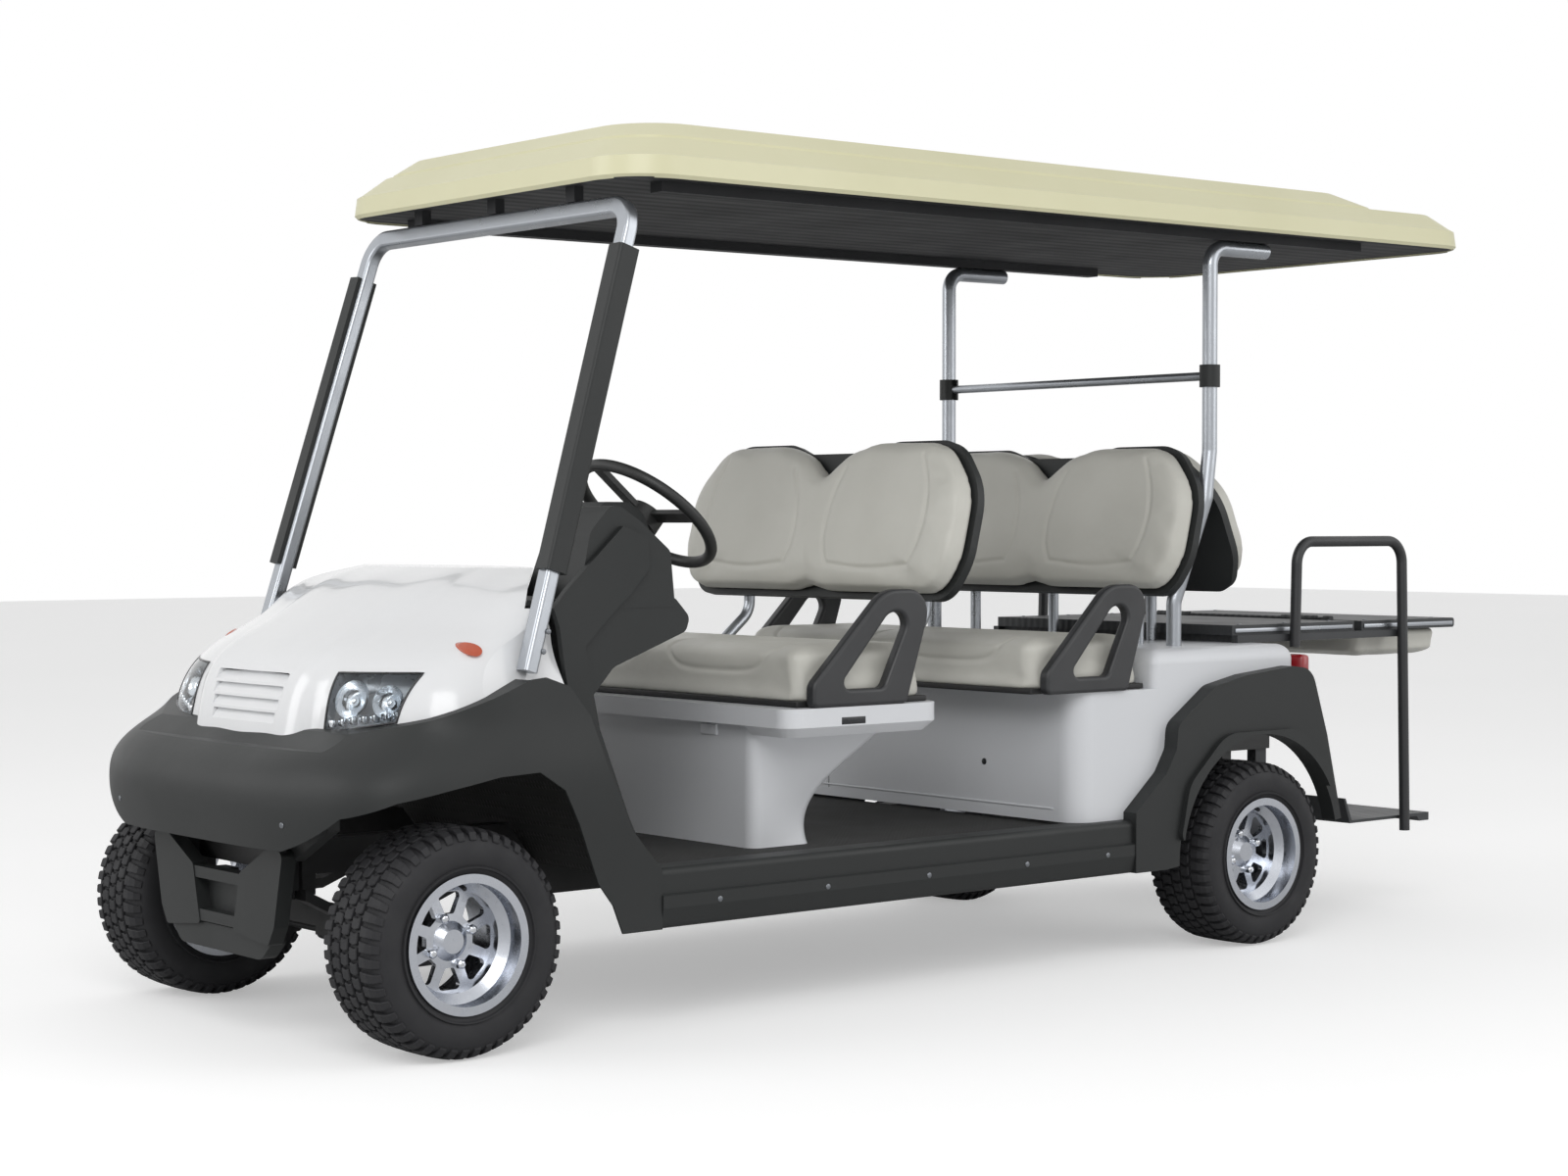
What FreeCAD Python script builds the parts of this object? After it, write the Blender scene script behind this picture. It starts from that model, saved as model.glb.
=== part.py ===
"""Six-seat golf cart with a flip-over rear seat, at real size, in millimetres.

+X points forward, +Y to the left and +Z up. The origin is on the ground, under the middle of the
cart. Inside this file a station is a distance along X from the front axle, forward positive, and
every sub-part's Placement moves its stations to the origin.
"""
import FreeCAD, Part
import math
import os
import Sketcher
from FreeCAD import Placement, Rotation, Vector

os.makedirs("parts", exist_ok=True)
doc = FreeCAD.newDocument("golf_cart")
sheet = doc.addObject("Spreadsheet::Sheet", "sizes")


class Length:
    """A size in millimetres that also knows its expression in the spreadsheet."""

    def __init__(self, value, text):
        self.value = float(value)
        self.text = text

    def __float__(self):
        return self.value

    def __neg__(self):
        return Length(-self.value, f"(0 - {self.text})")

    def __add__(self, other):
        return Length(self.value + float(other), f"({self.text} + {words(other)})")

    def __radd__(self, other):
        return Length(float(other) + self.value, f"({words(other)} + {self.text})")

    def __sub__(self, other):
        return Length(self.value - float(other), f"({self.text} - {words(other)})")

    def __rsub__(self, other):
        return Length(float(other) - self.value, f"({words(other)} - {self.text})")

    def __mul__(self, other):
        return Length(self.value * float(other), f"({self.text} * {words(other)})")

    def __rmul__(self, other):
        return Length(float(other) * self.value, f"({words(other)} * {self.text})")

    def __truediv__(self, other):
        return Length(self.value / float(other), f"({self.text} / {words(other)})")


def words(value):
    """The text of a Length or of a plain number, for an expression."""
    return value.text if isinstance(value, Length) else f"{float(value):.6f}"


rows = []


def size(alias, value):
    """Enter one driving dimension in the spreadsheet and return it."""
    rows.append(alias)
    cell = f"B{len(rows)}"
    sheet.set(f"A{len(rows)}", alias)
    sheet.set(cell, str(value))
    sheet.setAlias(cell, alias)
    return Length(value, f"sizes.{alias}")


# Overall stations and heights
wheelbase = size("wheelbase", 2350)
front_overhang = size("front_overhang", 302)
rear_overhang = size("rear_overhang", 1026)
front_track = size("front_track", 990)
rear_track = size("rear_track", 1040)
body_half_width = size("body_half_width", 600)
floor_height = size("floor_height", 335)
sill_bottom = size("sill_bottom", 217)
running_gap = size("running_gap", 0.05)
seat_gap = size("seat_gap", 0.3)
panel_wall = size("panel_wall", 5)

# Wheels
tyre_radius = size("tyre_radius", 230)
tyre_width = size("tyre_width", 205)
tyre_wall = size("tyre_wall", 14)
flange_radius = size("flange_radius", 140)
bead_radius = size("bead_radius", 127)
barrel_radius = size("barrel_radius", 108)
rim_half_width = size("rim_half_width", 94)
rim_wall = size("rim_wall", 5)
spoke_plane = size("spoke_plane", 22)
spoke_depth = size("spoke_depth", 16)
spoke_count = 8
lug_count = 4
hub_radius = size("hub_radius", 40)
cap_radius = size("cap_radius", 24)
cap_height = size("cap_height", 14)
stub_radius = size("stub_radius", 15)
lug_circle_radius = size("lug_circle_radius", 50.8)
lug_hole_radius = size("lug_hole_radius", 6.5)
window_width = size("window_width", 60)

# Front suspension and steering
kingpin_offset = size("kingpin_offset", 415)
kingpin_radius = size("kingpin_radius", 10)
boss_radius = size("boss_radius", 20)
boss_height = size("boss_height", 90)
yoke_thickness = size("yoke_thickness", 14)
beam_height = size("beam_height", 46)
beam_depth = size("beam_depth", 40)
arm_length = size("arm_length", 70)
ball_radius = size("ball_radius", 12)
arm_thickness = size("arm_thickness", 12)
tie_rod_radius = size("tie_rod_radius", 8)
tie_rod_drop = size("tie_rod_drop", 6)
guide_radius = size("guide_radius", 20)
guide_length = size("guide_length", 180)
spring_width = size("spring_width", 45)
spring_thickness = size("spring_thickness", 22)
front_spring_reach = size("front_spring_reach", 250)
rear_spring_reach = size("rear_spring_reach", 330)

# Ladder frame and floor
rail_offset = size("rail_offset", 210)
rail_width = size("rail_width", 50)
rail_depth = size("rail_depth", 70)
rail_front = size("rail_front", 170)
floor_front = size("floor_front", -400)
floor_rear = size("floor_rear", -1760)
floor_wall = size("floor_wall", 8)
floor_half_width = size("floor_half_width", 520)
arch_rise = size("arch_rise", 190)
toe_rake = size("toe_rake", 150)
toe_top = size("toe_top", 690)

# Sills
sill_wall = size("sill_wall", 78)
sill_front = size("sill_front", -470)
sill_rear = size("sill_rear", -1895)
sill_lip = size("sill_lip", 8)
sill_groove = size("sill_groove", 290)

# Nose and bumper
nose_station = size("nose_station", 182)
nose_bottom = size("nose_bottom", 590)
hood_top = size("hood_top", 964)
hood_rear = size("hood_rear", -444)
panel_rise = size("panel_rise", 13)
louvre_depth = size("louvre_depth", 9)
louvre_pitch = size("louvre_pitch", 27)
louvre_count = 4
kick_inside = size("kick_inside", 521)
kick_wall = size("kick_wall", 15)
dash_top = size("dash_top", 902)
binnacle_top = size("binnacle_top", 1104)
cowl_rear = size("cowl_rear", -205)
cowl_foot = size("cowl_foot", 885)
shell_half_width = size("shell_half_width", 565)
bumper_bottom = size("bumper_bottom", 412)
bumper_top = size("bumper_top", 600)
screen_rake = size("screen_rake", 0.305)

# Windscreen frame
post_width = size("post_width", 40)
post_depth = size("post_depth", 32)
post_corner = size("post_corner", 8)
screen_top = size("screen_top", 1722)
screen_bottom = size("screen_bottom", 760)
screen_bottom_station = size("screen_bottom_station", -168)
screen_top_half_width = size("screen_top_half_width", 506)
foot_inset = size("foot_inset", 42)
sleeve_bottom = size("sleeve_bottom", 960)
sleeve_top = size("sleeve_top", 1630)
sleeve_wall = size("sleeve_wall", 10)

# Roof
roof_front = size("roof_front", -395)
roof_rear = size("roof_rear", -3250)
roof_half_width = size("roof_half_width", 585)
roof_bottom = size("roof_bottom", 1772)
roof_band = size("roof_band", 48)
roof_shoulder = size("roof_shoulder", 92)
roof_crown = size("roof_crown", 158)
roof_step = size("roof_step", 330)
roof_wall = size("roof_wall", 6)
roof_corner = size("roof_corner", 130)
roof_rise = size("roof_rise", 24)
liner_inset = size("liner_inset", 7.7)
liner_lift = size("liner_lift", 5)
liner_thickness = size("liner_thickness", 12)
bearer_depth = size("bearer_depth", 22)
bearer_width = size("bearer_width", 40)

# Rear posts
rear_post_radius = size("rear_post_radius", 19)
rear_post_station = size("rear_post_station", -2295)
rear_post_half_width = size("rear_post_half_width", 478)
rear_post_leg = size("rear_post_leg", 210)
rear_foot_station = size("rear_foot_station", -2206)
rear_foot_offset = size("rear_foot_offset", 440)
grab_height = size("grab_height", 1429)
grab_radius = size("grab_radius", 11)
clamp_radius = size("clamp_radius", 26)

# Seats
seat_half_width = size("seat_half_width", 540)
seat_bottom = size("seat_bottom", 655)
seat_thickness = size("seat_thickness", 125)
front_seat_front = size("front_seat_front", -880)
seat_depth = size("seat_depth", 395)
middle_seat_front = size("middle_seat_front", -1600)
back_half_width = size("back_half_width", 505)
back_bottom = size("back_bottom", 885)
back_height = size("back_height", 375)
back_thickness = size("back_thickness", 66)
front_back_station = size("front_back_station", -1401)
middle_back_station = size("middle_back_station", -2165)
rear_back_station = size("rear_back_station", -2475)
rear_back_bottom = size("rear_back_bottom", 895)
rear_back_half_width = size("rear_back_half_width", 448)
back_shell_wall = size("back_shell_wall", 22)
back_round = size("back_round", 22)
shell_reveal = size("shell_reveal", 6)
back_lean = size("back_lean", 14)
rear_back_lean = size("rear_back_lean", 24)
strut_radius = size("strut_radius", 14)
arm_width = size("arm_width", 30)
arm_height = size("arm_height", 256)
arm_round = size("arm_round", 9)

# Bench bases and rear body
base_front = size("base_front", -870)
base_half_width = size("base_half_width", 400)
tray_half_width = size("tray_half_width", 570)
tray_thickness = size("tray_thickness", 42)
battery_height = size("battery_height", 230)
rear_body_front = size("rear_body_front", -1735)
rear_body_rear = size("rear_body_rear", -2530)
rear_body_half_width = size("rear_body_half_width", 560)
rear_body_top = size("rear_body_top", 750)
rear_body_corner = size("rear_body_corner", 60)
flange_drop = size("flange_drop", 22)
arch_radius = size("arch_radius", 300)
fender_wall = size("fender_wall", 42)
lip_width = size("lip_width", 36)
lip_reach = size("lip_reach", 13)
quarter_round = size("quarter_round", 36)

# Cargo deck and flip seat
deck_top = size("deck_top", 795)
deck_thickness = size("deck_thickness", 26)
deck_half_width = size("deck_half_width", 430)
deck_front = size("deck_front", -2440)
hinge_station = size("hinge_station", -2950)
flip_rear = size("flip_rear", -3374)
flip_cushion_thickness = size("flip_cushion_thickness", 75)
hinge_radius = size("hinge_radius", 5)
barrel_wall = size("barrel_wall", 4)
hinge_lift = size("hinge_lift", 2.5)
hinge_clearance = size("hinge_clearance", 16)
hoop_radius = size("hoop_radius", 14)
hoop_offset = size("hoop_offset", 462)
hoop_front = size("hoop_front", -2650)
hoop_rear = size("hoop_rear", -3115)
hoop_top = size("hoop_top", 1010)
step_top = size("step_top", 262)
step_front = size("step_front", -2880)
step_rear = size("step_rear", -3240)

# Steering wheel
wheel_ring_radius = size("wheel_ring_radius", 166)
wheel_grip_radius = size("wheel_grip_radius", 13)
wheel_station = size("wheel_station", -672)
wheel_side = size("wheel_side", 273)
wheel_height = size("wheel_height", 1078)
wheel_hub_depth = size("wheel_hub_depth", 34)
column_radius = size("column_radius", 22)
column_length = size("column_length", 360)
column_rake = size("column_rake", 40)

shift = (wheelbase + rear_overhang - front_overhang) / 2
rear_axle = -wheelbase
rail_low = floor_height - floor_wall - rail_depth
front_rail_low = rail_low + 90
arch_low = rail_low + arch_rise
sill_top = floor_height + sill_lip
arm_offset = seat_half_width + 5 + arm_width / 2
steer_axis = Vector(-math.sin(math.radians(float(column_rake))), 0, math.cos(math.radians(float(column_rake))))
XZ, XY, YZ = "XZ_Plane", "XY_Plane", "YZ_Plane"
sub_parts = []


def bind(obj, prop, value):
    """Give a property a size, through an expression when it comes from the spreadsheet."""
    if isinstance(value, Length):
        obj.setExpression(prop, value.text)


def put(obj, label, x=0, y=0, z=0, turn=None):
    """Name a finished sub-part and place it by its station, side offset and height."""
    obj.Label = label
    obj.Placement = Placement(
        Vector(float(shift + x), float(y), float(z)), turn or Rotation())
    bind(obj, "Placement.Base.x", shift + x)
    bind(obj, "Placement.Base.y", y)
    bind(obj, "Placement.Base.z", z)
    sub_parts.append(obj)
    return obj


def new_body(name):
    return doc.addObject("PartDesign::Body", name)


def sketch_on(body, plane, offset=0):
    """A sketch on one of the body's own origin planes, lifted along its normal by offset."""
    made = body.newObject("Sketcher::SketchObject", f"{body.Name}_sketch")
    face = next(f for f in body.Origin.OriginFeatures if f.Role == plane)
    made.AttachmentSupport = [(face, "")]
    made.MapMode = "FlatFace"
    made.AttachmentOffset = Placement(Vector(0, 0, float(offset)), Rotation())
    bind(made, "AttachmentOffset.Base.z", offset)
    return made


def constrain(sketch, kind, geometry, point, value):
    """Hold a point at its distance from the sketch's origin."""
    index = sketch.addConstraint(
        Sketcher.Constraint(kind, -1, 1, geometry, point, float(value)))
    if isinstance(value, Length):
        sketch.setExpression(f"Constraints[{index}]", value.text)


def outline(sketch, corners):
    """Draw a closed outline. A corner is (x, y) or (x, y, radius)."""
    first = sketch.GeometryCount
    count = len(corners)
    points = [Vector(float(c[0]), float(c[1]), 0) for c in corners]
    for i, point in enumerate(points):
        sketch.addGeometry(Part.LineSegment(point, points[(i + 1) % count]), False)
    for i in range(count):
        following = first + (i + 1) % count
        sketch.addConstraint(
            Sketcher.Constraint("Coincident", first + i, 2, following, 1))
    for i, corner in enumerate(corners):
        constrain(sketch, "DistanceX", first + i, 1, corner[0])
        constrain(sketch, "DistanceY", first + i, 1, corner[1])
    for i, corner in enumerate(corners):
        if len(corner) > 2:
            round_corner(sketch, first + i, corner[2])


def round_corner(sketch, line, radius):
    """Round the corner at a line's start, with its radius bound to the sheet."""
    sketch.fillet(line, 1, float(radius), True, True)
    arc = max(i for i in range(sketch.GeometryCount)
              if isinstance(sketch.Geometry[i], Part.ArcOfCircle))
    index = sketch.addConstraint(Sketcher.Constraint("Radius", arc, float(radius)))
    if isinstance(radius, Length):
        sketch.setExpression(f"Constraints[{index}]", radius.text)


def circle(sketch, x, y, radius):
    index = sketch.addGeometry(
        Part.Circle(Vector(float(x), float(y), 0), Vector(0, 0, 1), float(radius)), False)
    constrain(sketch, "DistanceX", index, 3, x)
    constrain(sketch, "DistanceY", index, 3, y)
    place = sketch.addConstraint(Sketcher.Constraint("Radius", index, float(radius)))
    if isinstance(radius, Length):
        sketch.setExpression(f"Constraints[{place}]", radius.text)


def pad(body, sketch, length, symmetric=False):
    made = body.newObject("PartDesign::Pad", f"{body.Name}_pad")
    made.Profile = sketch
    made.SideType = "Symmetric" if symmetric else "One side"
    made.Length = float(length)
    bind(made, "Length", length)
    return made


def pocket_through(body, sketch):
    made = body.newObject("PartDesign::Pocket", f"{body.Name}_pocket")
    made.Profile = sketch
    made.SideType = "Symmetric"
    made.Type = "ThroughAll"
    return made


def revolve(body, sketch, axis="H_Axis"):
    made = body.newObject("PartDesign::Revolution", f"{body.Name}_revolution")
    made.Profile = sketch
    made.ReferenceAxis = (sketch, [axis])
    made.Angle = 360
    return made


def round_edges(body, feature, radius, wanted):
    """Fillet the edges of a feature whose middle point and direction are wanted."""
    doc.recompute()
    names = []
    for i, edge in enumerate(feature.Shape.Edges, 1):
        middle = edge.valueAt((edge.FirstParameter + edge.LastParameter) / 2)
        along = edge.tangentAt((edge.FirstParameter + edge.LastParameter) / 2)
        if wanted(middle, along):
            names.append(f"Edge{i}")
    made = body.newObject("PartDesign::Fillet", f"{body.Name}_fillet")
    made.Base = (feature, names)
    made.Radius = float(radius)
    bind(made, "Radius", radius)
    return made


def profile_body(name, plane, corners, depth, offset=0, symmetric=False):
    """A body made by padding one outline."""
    body = new_body(name)
    sketch = sketch_on(body, plane, offset)
    outline(sketch, corners)
    pad(body, sketch, depth, symmetric)
    return body


def box(name, x, y, z):
    """A Part box between the low and high ends of its three sides, unplaced."""
    made = doc.addObject("Part::Box", name)
    for prop, (low, high) in zip(("Length", "Width", "Height"), (x, y, z)):
        span = high - low
        setattr(made, prop, float(span))
        bind(made, prop, span)
    made.Placement = Placement(Vector(float(x[0]), float(y[0]), float(z[0])), Rotation())
    for letter, (low, high) in zip("xyz", (x, y, z)):
        bind(made, f"Placement.Base.{letter}", low)
    return made


AXIS_TURN = {
    "X": Rotation(Vector(0, 1, 0), 90),
    "Y": Rotation(Vector(1, 0, 0), -90),
    "Z": Rotation(),
}


def cylinder(name, axis, radius, length, x, y, z):
    """A Part cylinder that starts at a point and runs along +axis."""
    made = doc.addObject("Part::Cylinder", name)
    made.Radius = float(radius)
    made.Height = float(length)
    bind(made, "Radius", radius)
    bind(made, "Height", length)
    made.Placement = Placement(Vector(float(x), float(y), float(z)), AXIS_TURN[axis])
    for letter, value in zip("xyz", (x, y, z)):
        bind(made, f"Placement.Base.{letter}", value)
    return made


def fuse(name, pieces):
    made = doc.addObject("Part::MultiFuse", name)
    made.Shapes = pieces
    made.Refine = True
    return made


def cut(name, base, tool):
    made = doc.addObject("Part::Cut", name)
    made.Base = base
    made.Tool = tool
    return made


def mirrored(name, source):
    """The same piece on the other side of the cart."""
    made = doc.addObject("Part::Mirroring", name)
    made.Source = source
    made.Normal = Vector(0, 1, 0)
    return made


def together(name, pieces):
    """Like pieces that don't touch, as one sub-part."""
    made = doc.addObject("Part::Compound", name)
    made.Links = pieces
    return made


def pair(name, left):
    return together(name, [left, mirrored(f"{name}_mirror", left)])


def feature(name, shape):
    made = doc.addObject("Part::Feature", name)
    made.Shape = shape
    return made


def bent_path(points, bend):
    """A wire of straight runs joined by tangent arcs of one radius."""
    edges = []
    start = points[0]
    for here, corner, there in zip(points, points[1:], points[2:]):
        inward = (here - corner).normalize()
        outward = (there - corner).normalize()
        half = inward.getAngle(outward) / 2
        reach = bend / math.tan(half)
        first = corner + inward * reach
        last = corner + outward * reach
        middle_way = (inward + outward).normalize()
        centre = corner + middle_way * (bend / math.sin(half))
        edges.append(Part.LineSegment(start, first).toShape())
        edges.append(Part.Arc(first, centre - middle_way * bend, last).toShape())
        start = last
    edges.append(Part.LineSegment(start, points[-1]).toShape())
    return Part.Wire(edges)


def tube(points, radius, bend):
    """A round bar bent through points given as (station, side, height)."""
    path = bent_path([Vector(*(float(v) for v in p)) for p in points], float(bend))
    first = path.Edges[0]
    section = Part.Wire(Part.Circle(
        first.valueAt(first.FirstParameter), first.tangentAt(first.FirstParameter),
        float(radius)).toShape())
    return path.makePipeShell([section], True, True)


def plan_curve(points, rear):
    """A symmetric plan outline at one height: a smooth nose through points, straight sides."""
    height = points[0][2]
    left = [Vector(x, y, height) for x, y, height in points]
    right = [Vector(p.x, -p.y, p.z) for p in reversed(left[1:])]
    nose = Part.BSplineCurve()
    nose.interpolate(right + left)
    corner_left = Vector(rear, left[-1].y, height)
    corner_right = Vector(rear, -left[-1].y, height)
    return Part.Wire([
        nose.toShape(),
        Part.LineSegment(left[-1], corner_left).toShape(),
        Part.LineSegment(corner_left, corner_right).toShape(),
        Part.LineSegment(corner_right, right[0]).toShape(),
    ])


def plan_loft(levels, rear, inset=0.0):
    """Loft plan outlines, each a (height, [(station, side), ...]), inset all round."""
    wires = []
    for height, row in levels:
        points = [(x - inset, max(y - inset, 0.0) if y else 0.0, height) for x, y in row]
        wires.append(plan_curve(points, rear))
    return Part.makeLoft(wires, True, False)


def side_region(corners, half_width):
    """A prism over the whole width of the cart from its outline in side view."""
    points = [Vector(float(x), -float(half_width), float(z)) for x, z in corners]
    face = Part.Face(Part.makePolygon(points + points[:1]))
    return face.extrude(Vector(0, 2 * float(half_width), 0))


# Chassis

def chassis_frame():
    """Two zigzag box rails joined by cross members."""
    low = rail_low
    high = low + rail_depth
    front_low = front_rail_low
    front_high = front_low + rail_depth
    arch_high = arch_low + rail_depth
    body = new_body("frame_rails")
    sketch = sketch_on(body, XZ, -(rail_offset + rail_width / 2))
    outline(sketch, [
        (rail_front, front_low), (rail_front, front_high), (-330, front_high), (-400, high),
        (rear_axle + 430, high), (rear_axle + 280, arch_high), (step_front + 60, arch_high),
        (step_front + 60, arch_low), (rear_axle + 310, arch_low), (rear_axle + 455, low),
        (-425, low), (-350, front_low)])
    rail = pad(body, sketch, rail_width)
    doc.recompute()
    mirror = body.newObject("PartDesign::Mirrored", "rail_mirror")
    mirror.Originals = [rail]
    mirror.MirrorPlane = (next(f for f in body.Origin.OriginFeatures if f.Role == XZ), [""])
    body.Tip = mirror
    members = [body]
    spans = [("cross_front", rail_front - rail_width, front_low, front_high),
             ("cross_toe", floor_front - rail_width, low, high),
             ("cross_front_seat", base_front - 200, low, high),
             ("cross_middle", rear_body_front, low, high),
             ("cross_rear", step_front + 60, arch_low, arch_high)]
    for name, station, bottom, top in spans:
        members.append(box(
            name, (station, station + rail_width), (-rail_offset, rail_offset), (bottom, top)))
    return put(fuse("chassis", members), "chassis_frame")


def floor_pan():
    """The floor plate, its sloping toe board and the low riser under the middle bench."""
    top = floor_height
    low = top - floor_wall
    body = profile_body("floor", XZ, [
        (floor_rear, low), (floor_front, low), (floor_front + toe_rake, toe_top),
        (floor_front + toe_rake - floor_wall, toe_top), (floor_front - floor_wall, top),
        (floor_rear, top)], floor_half_width * 2, symmetric=True)
    return put(body, "floor_pan")


def sills():
    """A sill each side, with the shadow line that runs along it."""
    inner = body_half_width - sill_wall
    step = sill_lip
    body = new_body("sill_left")
    sketch = sketch_on(body, YZ, sill_rear)
    outline(sketch, [
        (inner, sill_bottom), (body_half_width - step, sill_bottom, 12),
        (body_half_width, sill_groove - 30), (body_half_width, sill_groove - 4),
        (body_half_width - step, sill_groove), (body_half_width - step, sill_top, 14),
        (inner, sill_top)])
    pad(body, sketch, sill_front - sill_rear)
    return put(pair("sill_pair", body), "sills")


# Nose, bumper and what they carry

def hood_levels():
    """Plan outlines of the white nose, from its bottom edge to the top of the hood.

    The second, third and fourth points of each outline make the raised centre panel's edge."""
    x = float(nose_station)
    w = float(shell_half_width)
    low = float(nose_bottom)
    top = float(hood_top)
    side = w - float(foot_inset)
    rise = float(panel_rise)
    return [
        (low, [(x + rise, 0), (x - 5 + rise, 120), (x - 14 + rise, 208), (x - 19, 236), (x - 24, 273),
               (x - 72, 420), (x - 150, w - 50), (x - 260, w)]),
        (low + 74, [(x - 20 + rise, 0), (x - 23 + rise, 120), (x - 32 + rise, 210), (x - 36, 238),
                    (x - 42, 273), (x - 78, 420), (x - 140, w - 52), (x - 250, w - 2)]),
        (low + 168, [(x - 52 + rise, 0), (x - 56 + rise, 120), (x - 67 + rise, 213), (x - 72, 241),
                     (x - 80, 278), (x - 120, 400), (x - 180, side - 32), (x - 260, side)]),
        (top - 114, [(x - 176 + rise, 0), (x - 186 + rise, 120), (x - 210 + rise, 216),
                     (x - 219, 244), (x - 232, 278), (x - 275, 390), (x - 320, side - 48),
                     (x - 375, side - 13)]),
        (top - 59, [(x - 262 + rise, 0), (x - 272 + rise, 120), (x - 296 + rise, 218),
                    (x - 305, 246), (x - 318, 280), (x - 350, 380), (x - 380, side - 60),
                    (x - 420, side - 24)]),
        (top - 24, [(x - 330 + rise, 0), (x - 341 + rise, 120), (x - 364 + rise, 220),
                    (x - 376, 248), (x - 388, 280), (x - 420, 360), (x - 445, side - 85),
                    (x - 480, side - 45)]),
        (top, [(x - 415 + rise, 0), (x - 422 + rise, 120), (x - 444 + rise, 205), (x - 454, 232),
               (x - 466, 256), (x - 490, 300), (x - 520, 370), (x - 560, side - 100)]),
    ]


def lamp_window(gap):
    """The slanted frame of the left headlamp, as a prism along X, larger all round by gap."""
    x = float(nose_station)
    low = float(nose_bottom) + 50
    corners = [(281 - gap, low - 6 - gap), (458 + gap, low + 24 - gap), (463 + gap, low + 120 + gap),
               (272 - gap, low + 116 + gap)]
    points = [Vector(x - 400, y, z) for y, z in corners]
    return Part.Face(Part.makePolygon(points + points[:1])).extrude(Vector(500, 0, 0))


def cowl_edge(inset):
    """The rear edge of the cowl's side, from under the windscreen post to its foot."""
    low = float(nose_bottom)
    return [(-232 - inset, float(cowl_foot)), (-247 - inset, low + 258), (-266 - inset, low + 138),
            (-300 - inset, low + 72)]


def hood_back(inset):
    """What lies behind the raked rear edge of the hood, as a prism along the rake."""
    low = float(cowl_foot)
    height = 500
    reach = float(screen_rake) * height
    base = float(cowl_rear) + float(screen_rake) * (float(hood_top) - low) - inset
    middle = base - (float(cowl_rear) - float(hood_rear))
    quarter = base - 110
    side = float(shell_half_width)
    curve = Part.BSplineCurve()
    curve.interpolate([Vector(base + 8, -side - 60, low), Vector(base, -side + 30, low),
                       Vector(quarter, -354, low), Vector(middle, 0, low),
                       Vector(quarter, 354, low), Vector(base, side - 30, low),
                       Vector(base + 8, side + 60, low)])
    far = -1400
    corners = [Vector(base + 8, side + 60, low), Vector(far, side + 60, low),
               Vector(far, -side - 60, low), Vector(base + 8, -side - 60, low)]
    edges = [curve.toShape()] + [
        Part.LineSegment(a, b).toShape() for a, b in zip(corners, corners[1:])]
    return Part.Face(Part.Wire(edges)).extrude(Vector(-reach, 0, height))


def cowl_cut():
    """What lies behind the cowl: behind the hood's edge, and behind its sides below that."""
    edge = cowl_edge(0)
    low = float(nose_bottom) + 50
    high = float(cowl_foot) + 1
    far = [(edge[-1][0], low), (-1400, low), (-1400, high), (edge[0][0], high)]
    return hood_back(0).fuse(side_region(edge + far, 800))


def skin_station(solid, height):
    """The station of a nose loft's skin in the middle of the cart, at a height."""
    ray = Part.makeLine(Vector(500, 0, height), Vector(-300, 0, height))
    return max(v.X for v in solid.common(ray).Vertexes)


def grille(outer, wall):
    """A thick patch behind the nose and the tapered grooves that make its curved louvres."""
    behind = plan_loft(hood_levels(), -620, wall + float(louvre_depth))
    low = float(nose_bottom) + 58
    pitch = float(louvre_pitch)
    high = low + louvre_count * pitch
    front = float(nose_station) + 40
    points = [Vector(front - 200, y, z) for y, z in (
        (-140, low - 12), (140, low - 12), (160, high + 8), (-160, high + 8))]
    opening = Part.Face(Part.makePolygon(points + points[:1])).extrude(Vector(200, 0, 0))
    patch = outer.cut(behind).common(opening)
    grooves = []
    for i in range(louvre_count):
        foot = low + i * pitch
        half = 130 + 6 * i
        tilted = outer.copy()
        taper = math.degrees(math.atan(float(louvre_depth) / (0.8 * pitch)))
        tilted.rotate(Vector(skin_station(outer, foot), 0, foot), Vector(0, 1, 0), -taper)
        band = Part.makeBox(200, 2 * half, pitch * 0.8, Vector(front - 200, -half, foot))
        grooves.append(band.cut(tilted))
    return patch, grooves


def front_body():
    """The white nose and hood: one moulded shell, open below and behind."""
    wall = float(panel_wall)
    rear = -620
    outer = plan_loft(hood_levels(), rear)
    inner = plan_loft(hood_levels(), rear - 40, wall)
    inner.translate(Vector(0, 0, -wall))
    low = float(nose_bottom)
    region = side_region([
        (320, low), (320, 1000), (-700, 1000), (-700, low + 60), (-300, low + 75),
        (-250, low + 125), (-190, low + 145), (-150, low + 140), (-69, low + 108),
        (46, low + 68), (120, low + 30), (158, low)], 800)
    window = lamp_window(float(seat_gap))
    patch, grooves = grille(outer, wall)
    shell = outer.cut(inner).fuse(patch).cut(cowl_cut()).common(region)
    shell = shell.cut([window, window.mirror(Vector(), Vector(0, 1, 0))] + grooves)
    return put(feature("nose_shell", shell), "front_body")


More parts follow.
